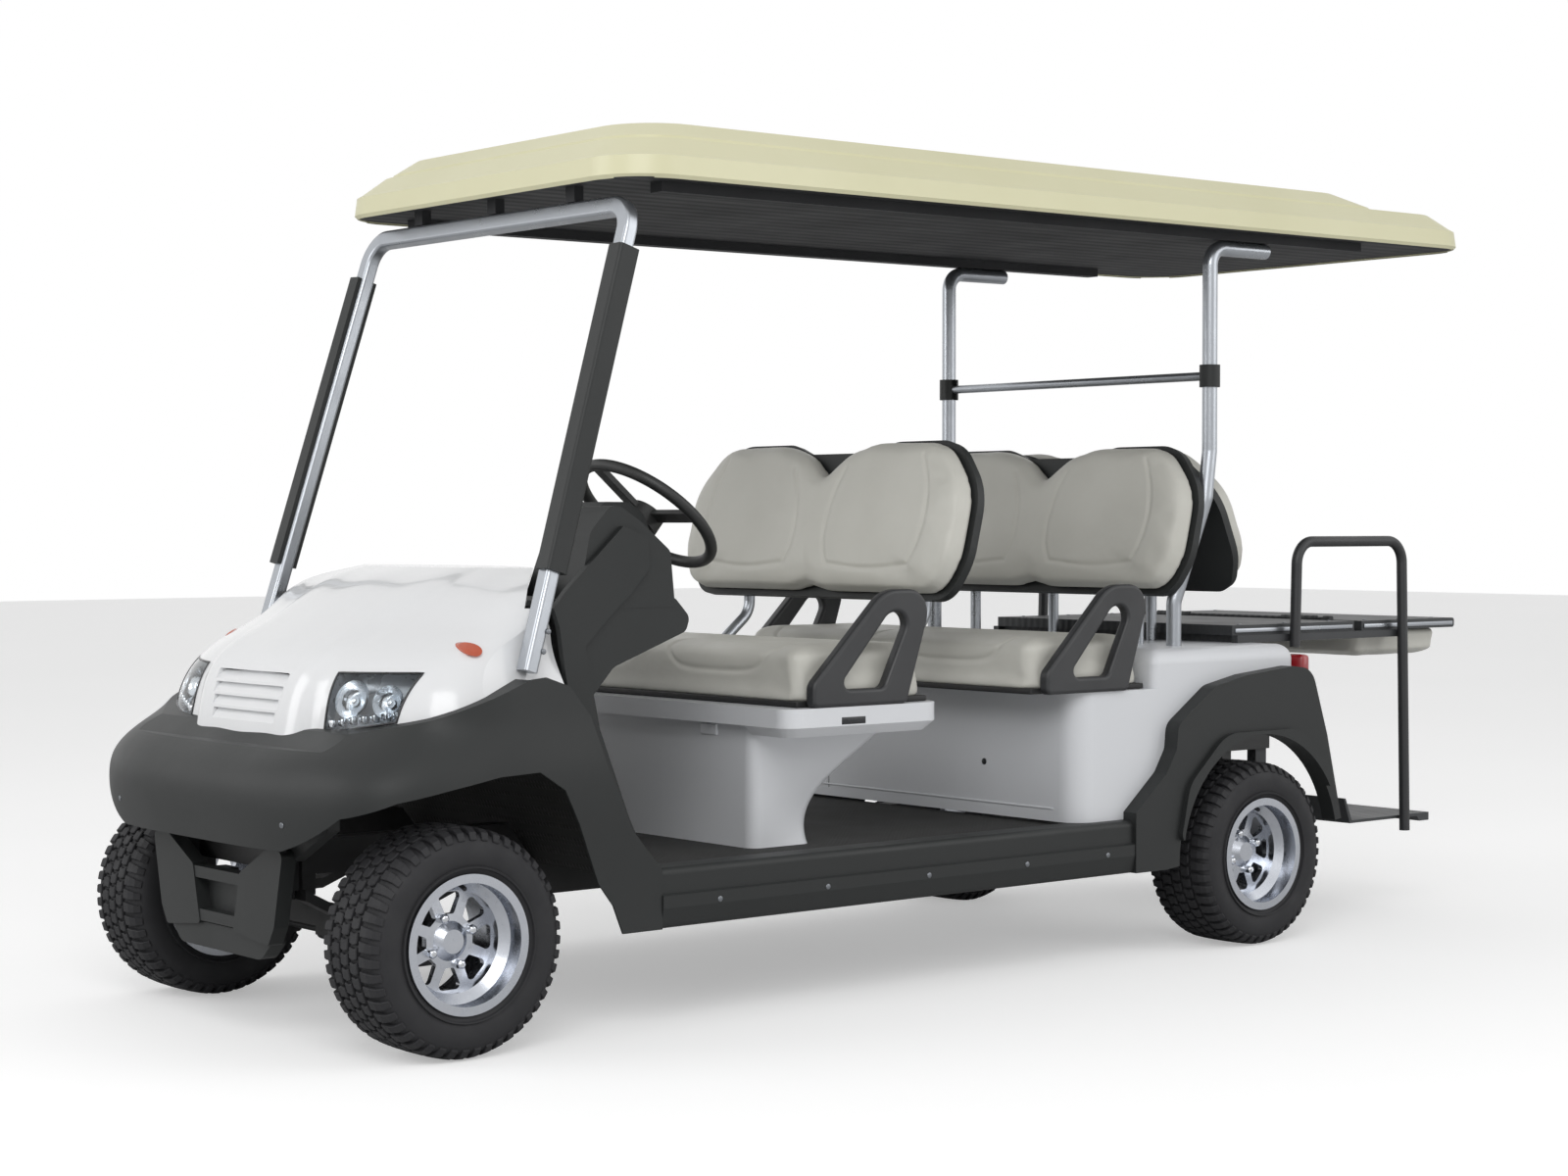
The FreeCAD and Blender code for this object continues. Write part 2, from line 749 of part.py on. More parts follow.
def bumper_levels():
    """Plan outlines of the black front cladding, from its lip to the shelf under the nose."""
    x = float(front_overhang)
    w = float(body_half_width)
    low = float(bumper_bottom)
    top = float(bumper_top)
    straight = [(x - 14, 0), (x - 26, 300), (x - 62, 440), (x - 130, w - 50), (x - 240, w - 10),
                (x - 360, w - 3)]
    return [
        (float(sill_bottom) - 20, straight),
        (low - 40, straight),
        (low + 50, [(x, 0), (x - 14, 300), (x - 52, 450), (x - 120, w - 45), (x - 235, w - 4),
                    (x - 355, w)]),
        (top - 45, [(x - 6, 0), (x - 22, 300), (x - 60, 450), (x - 125, w - 45), (x - 238, w - 4),
                    (x - 355, w)]),
        (top - 8, [(x - 40, 0), (x - 52, 300), (x - 84, 440), (x - 150, w - 60), (x - 262, w - 12),
                   (x - 370, w - 3)]),
        (top + 60, [(x - 150, 0), (x - 160, 280), (x - 185, 400), (x - 232, w - 75),
                    (x - 320, w - 26), (x - 420, w - 12)]),
        (top + 170, [(x - 200, 0), (x - 210, 280), (x - 235, 400), (x - 282, w - 75),
                     (x - 360, w - 34), (x - 450, w - 20)]),
    ]


def front_cladding():
    """The black bumper that runs round the nose, over both front wheels and down to the sills."""
    wall = float(panel_wall)
    outer = plan_loft(bumper_levels(), -620)
    inner = plan_loft(bumper_levels(), -660, wall)
    inner.translate(Vector(0, 0, -wall))
    low = float(sill_bottom)
    lip = float(bumper_bottom)
    top = float(bumper_top)
    rear = float(sill_front)
    region = side_region([
        (330, lip), (330, top + 2), (214, top + 8), (158, top + 40), (46, top + 73),
        (-69, top + 113), (-150, top + 145), (-190, top + 149), (-247, top + 129),
        (-295, top + 67), (-330, top - 40), (-400, top - 180), (rear, top - 260), (rear, low),
        (-369, low), (-345, low + 60), (-307, low + 109), (-258, low + 233), (-222, low + 305),
        (-162, low + 344), (-68, low + 340), (47, low + 321), (158, low + 300),
        (235, low + 268), (275, lip)], 800)
    shell = outer.cut(inner).common(region)
    doors = Part.makeBox(400, 2 * 530, 900, Vector(-700, -530, low - 50))
    rim_line = [(330, top + 2), (214, top + 8), (158, top + 40), (46, top + 73),
                (-69, top + 113), (-150, top + 145)]
    band = side_region(rim_line + [(x, z - wall) for x, z in reversed(rim_line)], 800)
    shelf = outer.common(band).cut(plan_loft(hood_levels(), -620, -float(seat_gap)))
    return put(feature("bumper_shell", shell.cut(doors).fuse(shelf)), "front_cladding")


def brush_guard():
    """The black guard under the bumper: wide uprights, cross bars, a recessed plate and a chin."""
    bottom = 172
    top = 345
    front = 238
    pieces = []
    for side in (-1, 1):
        name = f"{side + 1}"
        pieces.append(profile_body(f"guard_upright_{name}", YZ, [
            (side * 70, bottom + 50, 8), (side * 215, bottom + 34, 12), (side * 240, bottom + 74, 14),
            (side * 275, top + 54, 16), (side * 225, top + 64, 12), (side * 100, top, 12)],
            34, offset=front - 34))
        pieces.append(profile_body(f"guard_arm_{name}", YZ, [
            (side * 226, top + 60), (side * 262, top + 34), (side * 400, top + 106),
            (side * 400, top + 134), (side * 300, top + 108)], 28, offset=front - 58))
        pieces.append(box(f"guard_stay_{name}", (rail_front, front - 30),
                          (side * 210 - 12, side * 210 + 12), (top - 30, top + 60)))
    pieces.append(profile_body("guard_chin", YZ, [
        (-228, bottom + 52, 10), (-170, bottom, 40), (170, bottom, 40), (228, bottom + 52, 10)],
        34, offset=front - 44))
    pieces.append(box("guard_plate", (front - 36, front - 30), (-110, 110), (bottom + 40, top - 10)))
    for i, (wide, z) in enumerate(((80, bottom + 56), (105, top - 28))):
        pieces.append(box(f"guard_bar_{i}", (front - 34, front - 2), (-wide, wide), (z, z + 24)))
    return put(fuse("guard", pieces), "brush_guard")


def headlamps():
    """Clear lamp units let into the corners of the nose, flush with its skin."""
    block = plan_loft(hood_levels(), -620)
    inner = plan_loft(hood_levels(), -660, 55)
    lamp = block.cut(inner).common(lamp_window(0))
    return put(pair("lamp_pair", feature("lamp_left", lamp)), "headlamps")


def blinkers():
    """An oval amber lamp on each side of the hood."""
    gap = float(seat_gap)
    proud = plan_loft(hood_levels(), -620, -6)
    skin = plan_loft(hood_levels(), -700, -gap)
    ellipse = Part.Ellipse(Vector(-68, 300, 806), 17, 13.5)
    ellipse.Axis = Vector(0, 1, 0)
    oval = Part.Face(Part.Wire(ellipse.toShape())).extrude(Vector(0, 400, 0))
    lamp = proud.cut(skin).common(oval)
    return put(pair("blinker_pair", feature("blinker_left", lamp)), "blinkers")


def kick_panel(name, side, crest):
    """The black panel that closes a side between the cowl's edge and the cabin, up to its crest."""
    low = sill_top + seat_gap
    front = [(x, z) for x, z in cowl_edge(7)]
    rear = [(-474, low), (-425, 458), (-355, 634), (-318, 806)]
    inside = kick_inside if side > 0 else -(kick_inside + kick_wall)
    return profile_body(name, XZ, rear + crest + front + [(-300, 560), (-370, 420), (-408, low)],
                        kick_wall, offset=-(inside + kick_wall))


def dashboard():
    """The black dash behind the hood: its beam, the driver's bin and binnacle, the kick panels."""
    half = 2 * (kick_inside + 1)
    beam = profile_body("dash_beam", XZ, [
        (-308, 700), (-308, dash_top), (-560, dash_top, 20), (-600, dash_top - 42, 20),
        (-590, dash_top - 72, 20), (-400, 760, 40), (-345, 700)], half, symmetric=True)
    shelf = feature("dash_shelf", side_region(
        [(-100, dash_top - 12), (-100, dash_top), (-420, dash_top), (-420, dash_top - 12)],
        495).common(hood_back(float(seat_gap))))
    bin_side = profile_body("dash_bin", XZ, [
        (-308, dash_top - 20), (-340, 1040, 40), (-400, 1104, 34), (-470, 1062, 20),
        (-548, 1000, 20), (-560, dash_top - 20)], 130, offset=-(kick_inside + 2))
    binnacle = profile_body("dash_binnacle", XZ, [
        (-400, dash_top - 20), (-462, 1040, 20), (-492, binnacle_top, 14), (-562, binnacle_top, 10),
        (-600, 1078, 10), (-622, 1030, 14), (-604, 960, 20), (-560, dash_top - 20)],
        170, offset=-360)
    kicks = [
        kick_panel("kick_left", 1, [(-385, 870), (-436, 913), (-483, 964), (-480, 1030), (-415, 1052),
                                    (-273, 923)]),
        kick_panel("kick_right", -1, [(-385, 870), (-416, dash_top), (-268, dash_top)])]
    hole = feature("dash_hole", column_solid(float(column_radius) + float(seat_gap)))
    solid = fuse("dash_solid", [beam, shelf, bin_side, binnacle] + kicks)
    return put(cut("dash_cut", solid, hole), "dashboard")


def screen_point(height):
    """The centre of the left windscreen post at a height."""
    low = float(screen_bottom)
    share = (height - low) / (float(screen_top) - low)
    radius = float(post_width) / 2
    foot = float(shell_half_width) - float(foot_inset) + radius + float(seat_gap)
    station = float(screen_bottom_station) - float(screen_rake) * (height - low)
    return Vector(station, foot + (float(screen_top_half_width) - foot) * share, height)


def post_section(start, along, width, depth, corner):
    """A rounded rectangle across a post, its width across the cart."""
    across = Vector(0, 1, 0)
    across = (across - along * across.dot(along)).normalize()
    fore = along.cross(across)
    corners = [start + across * (width / 2 * i) + fore * (depth / 2 * j)
               for i, j in ((-1, -1), (1, -1), (1, 1), (-1, 1))]
    prism = Part.Face(Part.makePolygon(corners + corners[:1])).extrude(along)
    upright = [e for e in prism.Edges if abs(e.tangentAt(e.FirstParameter).dot(along)) > 0.99]
    rounded = prism.makeFillet(corner, upright)
    end = min(rounded.Faces, key=lambda f: (f.CenterOfMass - start).Length)
    return end.OuterWire


def screen_bar_half():
    """Half the height of the raked bar across the top of the windscreen frame."""
    rake = math.atan(float(screen_rake))
    corner = float(post_corner)
    return ((float(post_width) / 2 - corner) * math.cos(rake)
            + (float(post_depth) / 2 - corner) * math.sin(rake) + corner)


def windscreen_frame():
    """The silver frame: a raked post each side and the bar that joins them under the roof."""
    foot = screen_point(float(screen_bottom))
    head = screen_point(float(screen_top))
    path = bent_path([foot, head, Vector(head.x, -head.y, head.z), Vector(foot.x, -foot.y, foot.z)],
                     60)
    along = (head - foot).normalize()
    section = post_section(foot, along, float(post_width), float(post_depth), float(post_corner))
    shape = path.makePipeShell([section], True, False)
    return put(feature("screen_hoop", shape), "windscreen_frame")


def post_sleeves():
    """A black cover down the outer side of each windscreen post."""
    start = screen_point(float(sleeve_bottom))
    along = screen_point(float(sleeve_top)) - start
    way = Vector(along).normalize()
    width = float(post_width)
    depth = float(post_depth)
    wall = float(sleeve_wall)
    gap = float(seat_gap)
    outer = Part.Face(post_section(start, way, width + 2 * wall, depth + 2 * wall,
                                   float(post_corner))).extrude(along)
    core = Part.Face(post_section(start - way * 5, way, width + 2 * gap, depth + 2 * gap,
                                  float(post_corner))).extrude(along + way * 10)
    inner_side = Part.makeBox(900, 200, 1200, Vector(-900, start.y - width * 0.3 - 200, 700))
    inner_side.rotate(start, Vector(1, 0, 0),
                      -math.degrees(math.atan2(along.y, along.z)))
    left = feature("sleeve_left", outer.cut(core).cut(inner_side))
    return put(pair("sleeve_pair", left), "post_sleeves")


# Roof and its posts

def rounded_plan(x_low, x_high, half, corner, height, front_half=None):
    """A rectangle with round corners at one height, narrower or wider in front, as a wire."""
    corner = min(corner, half - 1)
    ahead = half if front_half is None else front_half
    wire = Part.makePolygon([
        Vector(x_low, -half, height), Vector(x_high, -ahead, height), Vector(x_high, ahead, height),
        Vector(x_low, half, height), Vector(x_low, -half, height)])
    prism = Part.Face(wire).extrude(Vector(0, 0, 1))
    upright = [e for e in prism.Edges if abs(e.tangentAt(e.FirstParameter).z) > 0.9]
    solid = prism.makeFillet(corner, upright)
    bottom = min(solid.Faces, key=lambda f: f.CenterOfMass.z)
    return bottom.OuterWire


def roof_steps():
    """Heights above the foot and insets of the roof's ledges, up to the shoulder."""
    band = float(roof_band)
    shoulder = float(roof_shoulder)
    return [(0, 6), (8, 0), (band, 4), (band + 6, 12), (shoulder, 52), (shoulder + 8, 110)]


def crown_steps():
    """The same for the raised panel on top, with the station at which each ends in the rear."""
    shoulder = float(roof_shoulder)
    crown = float(roof_crown)
    step = float(roof_step)
    return [(shoulder - 8, 62, step - 60), (shoulder + 8, 66, step - 40),
            (shoulder + (crown - shoulder) * 0.6, 105, step + 60),
            (shoulder + (crown - shoulder) * 0.78, 180, step + 130), (crown, 400, step + 330)]


def roof_low(station):
    """The height of the roof's foot at a station: the roof climbs slightly towards the rear."""
    return roof_bottom + roof_rise * (roof_front - station) / (roof_front - roof_rear)


def roof_turn():
    """The slight turn about Y that makes the roof climb."""
    length = float(roof_front - roof_rear)
    return Rotation(Vector(0, 1, 0), math.degrees(math.atan(float(roof_rise) / length)))


def roof_solid(inset, drop):
    """The roof as a full body: the ledges round its edge and the raised panel on top."""
    front = -inset
    rear = float(roof_rear - roof_front) + inset
    half = float(roof_half_width) - inset
    corner = float(roof_corner) - inset
    low = [rounded_plan(rear + inward, front - inward, half - inward, corner, rise - drop)
           for rise, inward in roof_steps()]
    high = [rounded_plan(rear + end, front - inward, half - inward, corner, rise - drop)
            for rise, inward, end in crown_steps()]
    return Part.makeLoft(low, True, True).fuse(Part.makeLoft(high, True, True))


def roof():
    """The cream canopy: a moulded shell with ledges round its rim, hollow below."""
    shell = roof_solid(0, 0).cut(roof_solid(float(roof_wall), float(roof_wall)))
    return put(feature("canopy", shell), "roof", roof_front, 0, roof_bottom, roof_turn())


def roof_liner():
    """The dark headlining, its two long bearers and the clips on the windscreen bar."""
    rear = roof_rear - roof_front
    half = roof_half_width - liner_inset
    corner = roof_corner - roof_wall
    body = new_body("liner")
    sketch = sketch_on(body, XY, liner_lift)
    outline(sketch, [(rear + liner_inset, -half, corner), (-liner_inset, -half, corner),
                     (-liner_inset, half, corner), (rear + liner_inset, half, corner)])
    pad(body, sketch, liner_thickness)
    low = liner_lift
    y = rear_post_half_width
    pieces = [body]
    for side in (-1, 1):
        pieces.append(box(f"bearer_{side + 1}", (rear + 380, -150),
                          (side * y - bearer_width / 2, side * y + bearer_width / 2),
                          (low - bearer_depth, low)))
    bar = screen_point(float(screen_top))
    station = float(bar.x) - float(roof_front)
    clip_low = float(screen_top + seat_gap) + screen_bar_half() - float(roof_low(float(bar.x)))
    for i, y in enumerate((-300, 0, 300)):
        pieces.append(box(f"clip_{i}", (station - 12, station + 12), (y - 16, y + 16), (clip_low, low)))
    return put(fuse("liner_fused", pieces), "roof_liner", roof_front, 0, roof_bottom, roof_turn())


def leg_height(station):
    """The height at which a post's leg lies against its bearer."""
    return roof_low(station) + liner_lift - bearer_depth - seat_gap - rear_post_radius


def rear_roof_posts():
    """A bent tube each side, from the bracket on the body up to a leg under the roof."""
    x = rear_post_station
    y = rear_post_half_width
    left = feature("rear_post_left", tube([
        (rear_foot_station, rear_foot_offset, rear_body_top + seat_gap),
        (rear_foot_station, rear_foot_offset, 860), (x + 16, y, 1120),
        (x, y, 1240), (x, y, leg_height(x)), (x - rear_post_leg, y, leg_height(x - rear_post_leg))],
        rear_post_radius, 45))
    return put(pair("rear_post_pair", left), "rear_roof_posts")


def grab_rail():
    """The rail between the rear posts and the clamp that holds each end."""
    reach = rear_post_half_width
    bar = cylinder("grab_bar", "Y", grab_radius, (reach - clamp_radius + 4) * 2,
                   rear_post_station, -(reach - clamp_radius + 4), grab_height)
    pieces = [bar]
    for side in (-1, 1):
        ring = cylinder(f"grab_clamp_{side + 1}", "Z", clamp_radius, 56, rear_post_station,
                        side * reach, grab_height - 28)
        pieces.append(ring)
    solid = fuse("grab_solid", pieces)
    holes = [cylinder(f"grab_hole_{side + 1}", "Z", rear_post_radius + seat_gap, 80,
                      rear_post_station, side * reach, grab_height - 40) for side in (-1, 1)]
    return put(cut("grab", solid, fuse("grab_holes", holes)), "grab_rail")


# Seats

def soft_block(name, x, half, z, corner):
    """A plain upholstered block with rounded edges, between its ends."""
    body = new_body(name)
    sketch = sketch_on(body, XY, z[0])
    outline(sketch, [(x[0], -half, corner), (x[1], -half, corner),
                     (x[1], half, corner), (x[0], half, corner)])
    block = pad(body, sketch, z[1] - z[0])
    top = float(z[1])
    round_edges(body, block, corner * 0.5, lambda p, d: p.z > top - 1)
    return body


def seat_cushion(name, front):
    corner = size(f"{name}_corner", 45)
    rear = front - seat_depth
    return put(soft_block(name, (rear, front), seat_half_width,
                          (seat_bottom, seat_bottom + seat_thickness), corner), name)


def back_turn(lean, facing):
    """A backrest's lean, and its half turn when its sitter faces the rear."""
    if facing < 0:
        return Rotation(Vector(0, 1, 0), float(lean)) * Rotation(Vector(0, 0, 1), 180)
    return Rotation(Vector(0, 1, 0), -float(lean))


def back_side(half, grow):
    """The outer corners and rounds of a backrest's left half, from its bottom to its top."""
    wide = half + grow
    high = back_height + grow
    return [(wide - 45, -grow, 70), (wide, 90, 150), (wide, high - 120, 160), (wide - 105, high, 120)]


def mirror_image(corners):
    """The same corners on the other side, in the order that carries the outline on."""
    return [(-y, z, radius) for y, z, radius in reversed(corners)]


def place_back(body, station, bottom, lean, facing):
    body.Placement = Placement(Vector(float(station), 0, float(bottom)), back_turn(lean, facing))
    bind(body, "Placement.Base.x", station)
    bind(body, "Placement.Base.z", bottom)
    return body


def backrest(name, station, bottom, half, lean, facing):
    """A backrest pad with two lobes and a rounded face, leaning away from its sitter."""
    body = new_body(name)
    sketch = sketch_on(body, YZ, 0)
    high = back_height
    left = [(60, 0, 60)] + back_side(half, 0) + [(175, high, 200), (85, high - 27, 150)]
    outline(sketch, left + [(0, high - 93, 18)] + mirror_image(left) + [(0, 16, 20)])
    block = pad(body, sketch, back_thickness)
    face = float(back_thickness) - 0.1
    round_edges(body, block, back_round, lambda p, d: p.x > face)
    return put(body, name, station, 0, bottom, back_turn(lean, facing))


def backrest_shell(name, station, bottom, half, lean, facing):
    """The black moulding behind a backrest pad, showing past it all round."""
    body = new_body(name)
    sketch = sketch_on(body, YZ, -(back_shell_wall + seat_gap))
    high = back_height + shell_reveal
    left = back_side(half, shell_reveal) + [(190, high, 100), (120, high - 26, 60)]
    outline(sketch, left + mirror_image(left))
    pad(body, sketch, back_shell_wall)
    return place_back(body, station, bottom, lean, facing)


def backrest_shells():
    shells = [
        backrest_shell("front_back_shell", front_back_station, back_bottom, back_half_width,
                       back_lean, 1),
        backrest_shell("middle_back_shell", middle_back_station, back_bottom, back_half_width,
                       back_lean, 1),
        backrest_shell("rear_back_shell", rear_back_station, rear_back_bottom,
                       rear_back_half_width, rear_back_lean, -1)]
    return put(together("back_shells", shells), "backrest_shells")


def armrest(name, front):
    """A flat loop with a sloping front leg and an upright rear leg."""
    body = new_body(name)
    sketch = sketch_on(body, XZ, -(arm_offset + arm_width / 2))
    low = seat_bottom
    outline(sketch, [
        (front - 20, low, 14), (front - 297, low, 14), (front - 382, low + arm_height, 55),
        (front - 231, low + arm_height, 90), (front - 20, low + 52, 30)])
    outline(sketch, [
        (front - 92, low + 38, 16), (front - 228, low + 38, 22), (front - 312, low + 205, 28),
        (front - 245, low + 205, 40)])
    loop = pad(body, sketch, arm_width)
    faces = (float(arm_offset - arm_width / 2), float(arm_offset + arm_width / 2))
    floor = float(low) + 1
    round_edges(body, loop, arm_round,
                lambda p, d: min(abs(p.y - y) for y in faces) < 0.1 and p.z > floor)
    return body


def armrests():
    """An armrest at both ends of both benches."""
    loops = []
    for name, front in (("front", front_seat_front), ("middle", middle_seat_front)):
        left = armrest(f"arm_{name}", front)
        loops += [left, mirrored(f"arm_{name}_mirror", left)]
    return put(together("arm_loops", loops), "armrests")


def shell_back(station, bottom, lean, height, reach):
    """The station of the outer face of a backrest's shell at a height, with a touch of air."""
    angle = math.radians(float(lean))
    wall = float(back_shell_wall + seat_gap) / math.cos(angle)
    lean_back = (height - float(bottom)) * math.tan(angle)
    return float(station) - reach * (lean_back + wall + float(seat_gap))


def backrest_supports():
    """Tubes that carry the backrests: two behind the front bench, four on the rear body."""
    radius = float(strut_radius)
    tray_rear = float(front_seat_front - seat_depth) - 10 - radius - float(seat_gap)
    top = float(back_bottom) + 75
    struts = []
    for name, station, bottom, lean, height, way in (
            ("front", front_back_station, back_bottom, back_lean, top, 1),
            ("middle", middle_back_station, back_bottom, back_lean, top + 30, 1),
            ("rear", rear_back_station, rear_back_bottom, rear_back_lean, top, -1)):
        x = shell_back(station, bottom, lean, height, way) - way * radius
        if name == "front":
            y = 330
            low = float(seat_bottom - tray_thickness)
            route = [(tray_rear, y, low), (tray_rear, y, low + 90), (x, y, low + 220), (x, y, height)]
            left = feature("strut_front", tube(route, radius, 60))
        else:
            y = 300 if way > 0 else 180
            left = feature(f"strut_{name}", Part.makeCylinder(
                radius, height - float(rear_body_top + seat_gap),
                Vector(x, y, float(rear_body_top + seat_gap))))
        struts += [left, mirrored(f"strut_{name}_mirror", left)]
    return put(together("struts", struts), "backrest_supports")


# Bench bases and rear body

def pod_levels(inset):
    """Plan outlines of the front pod: upright in front, flaring to the rear under its tray."""
    low = float(floor_height) + float(seat_gap)
    high = float(seat_bottom) - float(tray_thickness)
    front = float(base_front) - inset
    narrow = float(base_half_width) - inset
    rear = float(front_seat_front) - float(seat_depth) + inset
    wide = float(tray_half_width) - inset
    start = low - 1 if inset else low
    finish = float(seat_bottom) - float(seat_gap) - inset if inset else high
    wires = []
    for height, x_front, x_rear, front_half, rear_half in (
            (start, front, float(base_front) - 175 + inset, narrow, narrow),
            (low + 130, front + 4, float(base_front) - 205 + inset, narrow + 4, narrow + 12),
            (high - 60, front + 10, rear + 120, narrow + 8, wide - 100),
            (finish, front + 12, rear + 70, narrow + 10, wide - 60)):
        wires.append(rounded_plan(x_rear, x_front, rear_half, 28, height, front_half))
    return wires


def front_bench_base():
    """The white pod under the front bench and the flanged tray that carries the cushion."""
    wall = float(panel_wall)
    high = float(seat_bottom) - float(tray_thickness)
    top = float(seat_bottom) - float(seat_gap)
    drop = float(flange_drop)
    wide = float(tray_half_width)
    front = float(base_front) + 40
    rear = float(front_seat_front) - float(seat_depth) - 10
    tray = Part.makeLoft([rounded_plan(rear, front, wide, 40, z) for z in (high, top)], True, True)
    lip = Part.makeLoft([rounded_plan(rear + drop, front - drop, wide - drop, 30, high - drop),
                         rounded_plan(rear, front, wide, 40, high)], True, True)
    lip = lip.cut(Part.makeBox(900, 2 * 420, 200, Vector(rear - 100, -420, high - 100)))
    slots = [Part.makeBox(40, 16, 10, Vector(base_front - 162, side * wide - 8, high + 6))
             for side in (-1, 1)]
    pod = Part.makeLoft(pod_levels(0.0), True, False)
    inner = Part.makeLoft(pod_levels(wall), True, False)
    solid = pod.fuse([tray, lip]).cut([inner] + slots)
    return put(feature("front_pod", solid), "front_bench_base")


def battery_block():
    """The battery pack under the front bench, as one plain block."""
    low = floor_height + seat_gap
    block = box("battery_box", (base_front - 160, base_front - 22),
                (-base_half_width + 45, base_half_width - 45), (low, low + battery_height))
    return put(together("battery_pack", [block]), "battery_block")


def round_top(block, radius):
    """A block with the edges of its top face rounded."""
    top = max(block.Faces, key=lambda f: f.CenterOfMass.z)
    return block.makeFillet(radius, top.Edges)


def rear_body():
    """The white body over the rear axle: bench base in front, deck behind, open wheel arches."""
    wall = float(panel_wall)
    low = float(sill_top) + float(seat_gap)
    front = float(rear_body_front)
    rear = float(rear_body_rear)
    half = float(rear_body_half_width)
    corner = float(rear_body_corner)
    seat_top = float(seat_bottom) - float(seat_gap)
    top = float(rear_body_top)
    base = Part.Face(rounded_plan(rear, front, half, corner, low)).extrude(
        Vector(0, 0, seat_top - low))
    quarter_front = float(middle_seat_front) - float(seat_depth) - 8
    quarter = round_top(Part.Face(rounded_plan(rear, quarter_front, half, 20, low)).extrude(
        Vector(0, 0, top - low)), float(quarter_round))
    inner = Part.Face(rounded_plan(rear + wall, front - wall, half - wall, corner - wall, low - 1)).extrude(
        Vector(0, 0, seat_top - wall - low + 1))
    inner_quarter = round_top(Part.Face(rounded_plan(
        rear + wall, quarter_front - wall, half - wall, 15, low - 1)).extrude(
        Vector(0, 0, top - wall - low + 1)), float(quarter_round) - wall)
    solid = base.fuse(quarter).cut(inner).cut(inner_quarter)
    arch = Part.makeCylinder(float(arch_radius), 1400, Vector(float(rear_axle), -700, float(tyre_radius)),
                             Vector(0, 1, 0))
    rear_clip = Part.makeBox(500, 1400, 250, Vector(rear - 260, -700, low - 50))
    return put(feature("rear_shell", solid.cut(arch).cut(rear_clip)), "rear_body")


def rear_fenders():
    """Black cladding round each rear wheel arch, with a flared lip."""
    axle = rear_axle
    body = new_body("fender_left")
    inner = rear_body_half_width + seat_gap
    sketch = sketch_on(body, XZ, -(inner + fender_wall))
    low = sill_bottom
    outline(sketch, [
        (axle + 345, low), (sill_rear - seat_gap, low), (sill_rear - seat_gap, low + 145),
        (axle + 346, low + 235, 30),
        (axle + 311, low + 290, 30), (axle + 305, low + 350, 40), (axle + 169, low + 440, 60),
        (axle + 50, low + 463, 80), (axle - 129, low + 479, 60), (axle - 200, low + 470, 60),
        (axle - 260, low + 300, 60), (axle - 318, low + 80)])
    pad(body, sketch, fender_wall)
    lip = sketch_on(body, XZ, -(inner + fender_wall + lip_reach))
    reach = arch_radius + lip_width
    outline(lip, [
        (axle + 250, tyre_radius + 30, 10), (axle + reach - 30, tyre_radius + 60, 20),
        (axle + reach * 0.82, tyre_radius + reach * 0.57, 90),
        (axle + reach * 0.42, tyre_radius + reach * 0.92, 120),
        (axle - reach * 0.42, tyre_radius + reach * 0.92, 120),
        (axle - reach * 0.82, tyre_radius + reach * 0.57, 60),
        (axle - 240, tyre_radius + 120, 10)])
    pad(body, lip, lip_reach + 2)
    hole = sketch_on(body, XZ, 0)
    circle(hole, axle, tyre_radius, arch_radius)
    pocket_through(body, hole)
    return put(pair("fender_pair", body), "rear_fenders")


def tail_lamps():
    """Red lamps on the rear corners of the body."""
    lamp = box("tail_lamp_left", (rear_body_rear - 14, rear_body_rear - seat_gap), (505, 555),
               (620, 684))
    return put(pair("tail_pair", lamp), "tail_lamps")


# Cargo deck, flip seat and step

def rear_deck():
    """The dark deck behind the rear-facing backrest, with the hinge knuckles at its edge."""
    low = deck_top - deck_thickness
    body = profile_body("deck_plate", XZ, [
        (hinge_station + hinge_clearance, low), (deck_front, low), (deck_front, deck_top),
        (hinge_station + hinge_clearance, deck_top)], deck_half_width * 2, symmetric=True)
    foot = rear_body_top + seat_gap
    y = hoop_offset - hoop_radius - seat_gap - 10
    braces = [box(f"deck_brace_{side + 1}", (hoop_rear, deck_front), (side * y - 10, side * y + 10),
                  (foot, low)) for side in (-1, 1)]
    bearers = [box(f"deck_bearer_{i}", (x, x + 40), (-y, y), (foot, low))
               for i, x in enumerate((hinge_station + 60, deck_front - 60))]
    axis = deck_top + hinge_lift
    reach = 340
    pin = cylinder("deck_pin", "Y", hinge_radius, 2 * reach, hinge_station, -reach, axis)
    ears = []
    for side in (-1, 1):
        y = side * (reach - 12)
        ears.append(box(f"deck_ear_{side + 1}", (hinge_station - 9, hinge_station + hinge_clearance),
                        (y - 12, y + 12), (low, axis)))
        ears.append(cylinder(f"deck_eye_{side + 1}", "Y", hinge_radius + barrel_wall, 24,
                             hinge_station, y - 12, axis))
    return put(fuse("deck", [body] + braces + bearers + ears + [pin]), "rear_deck")


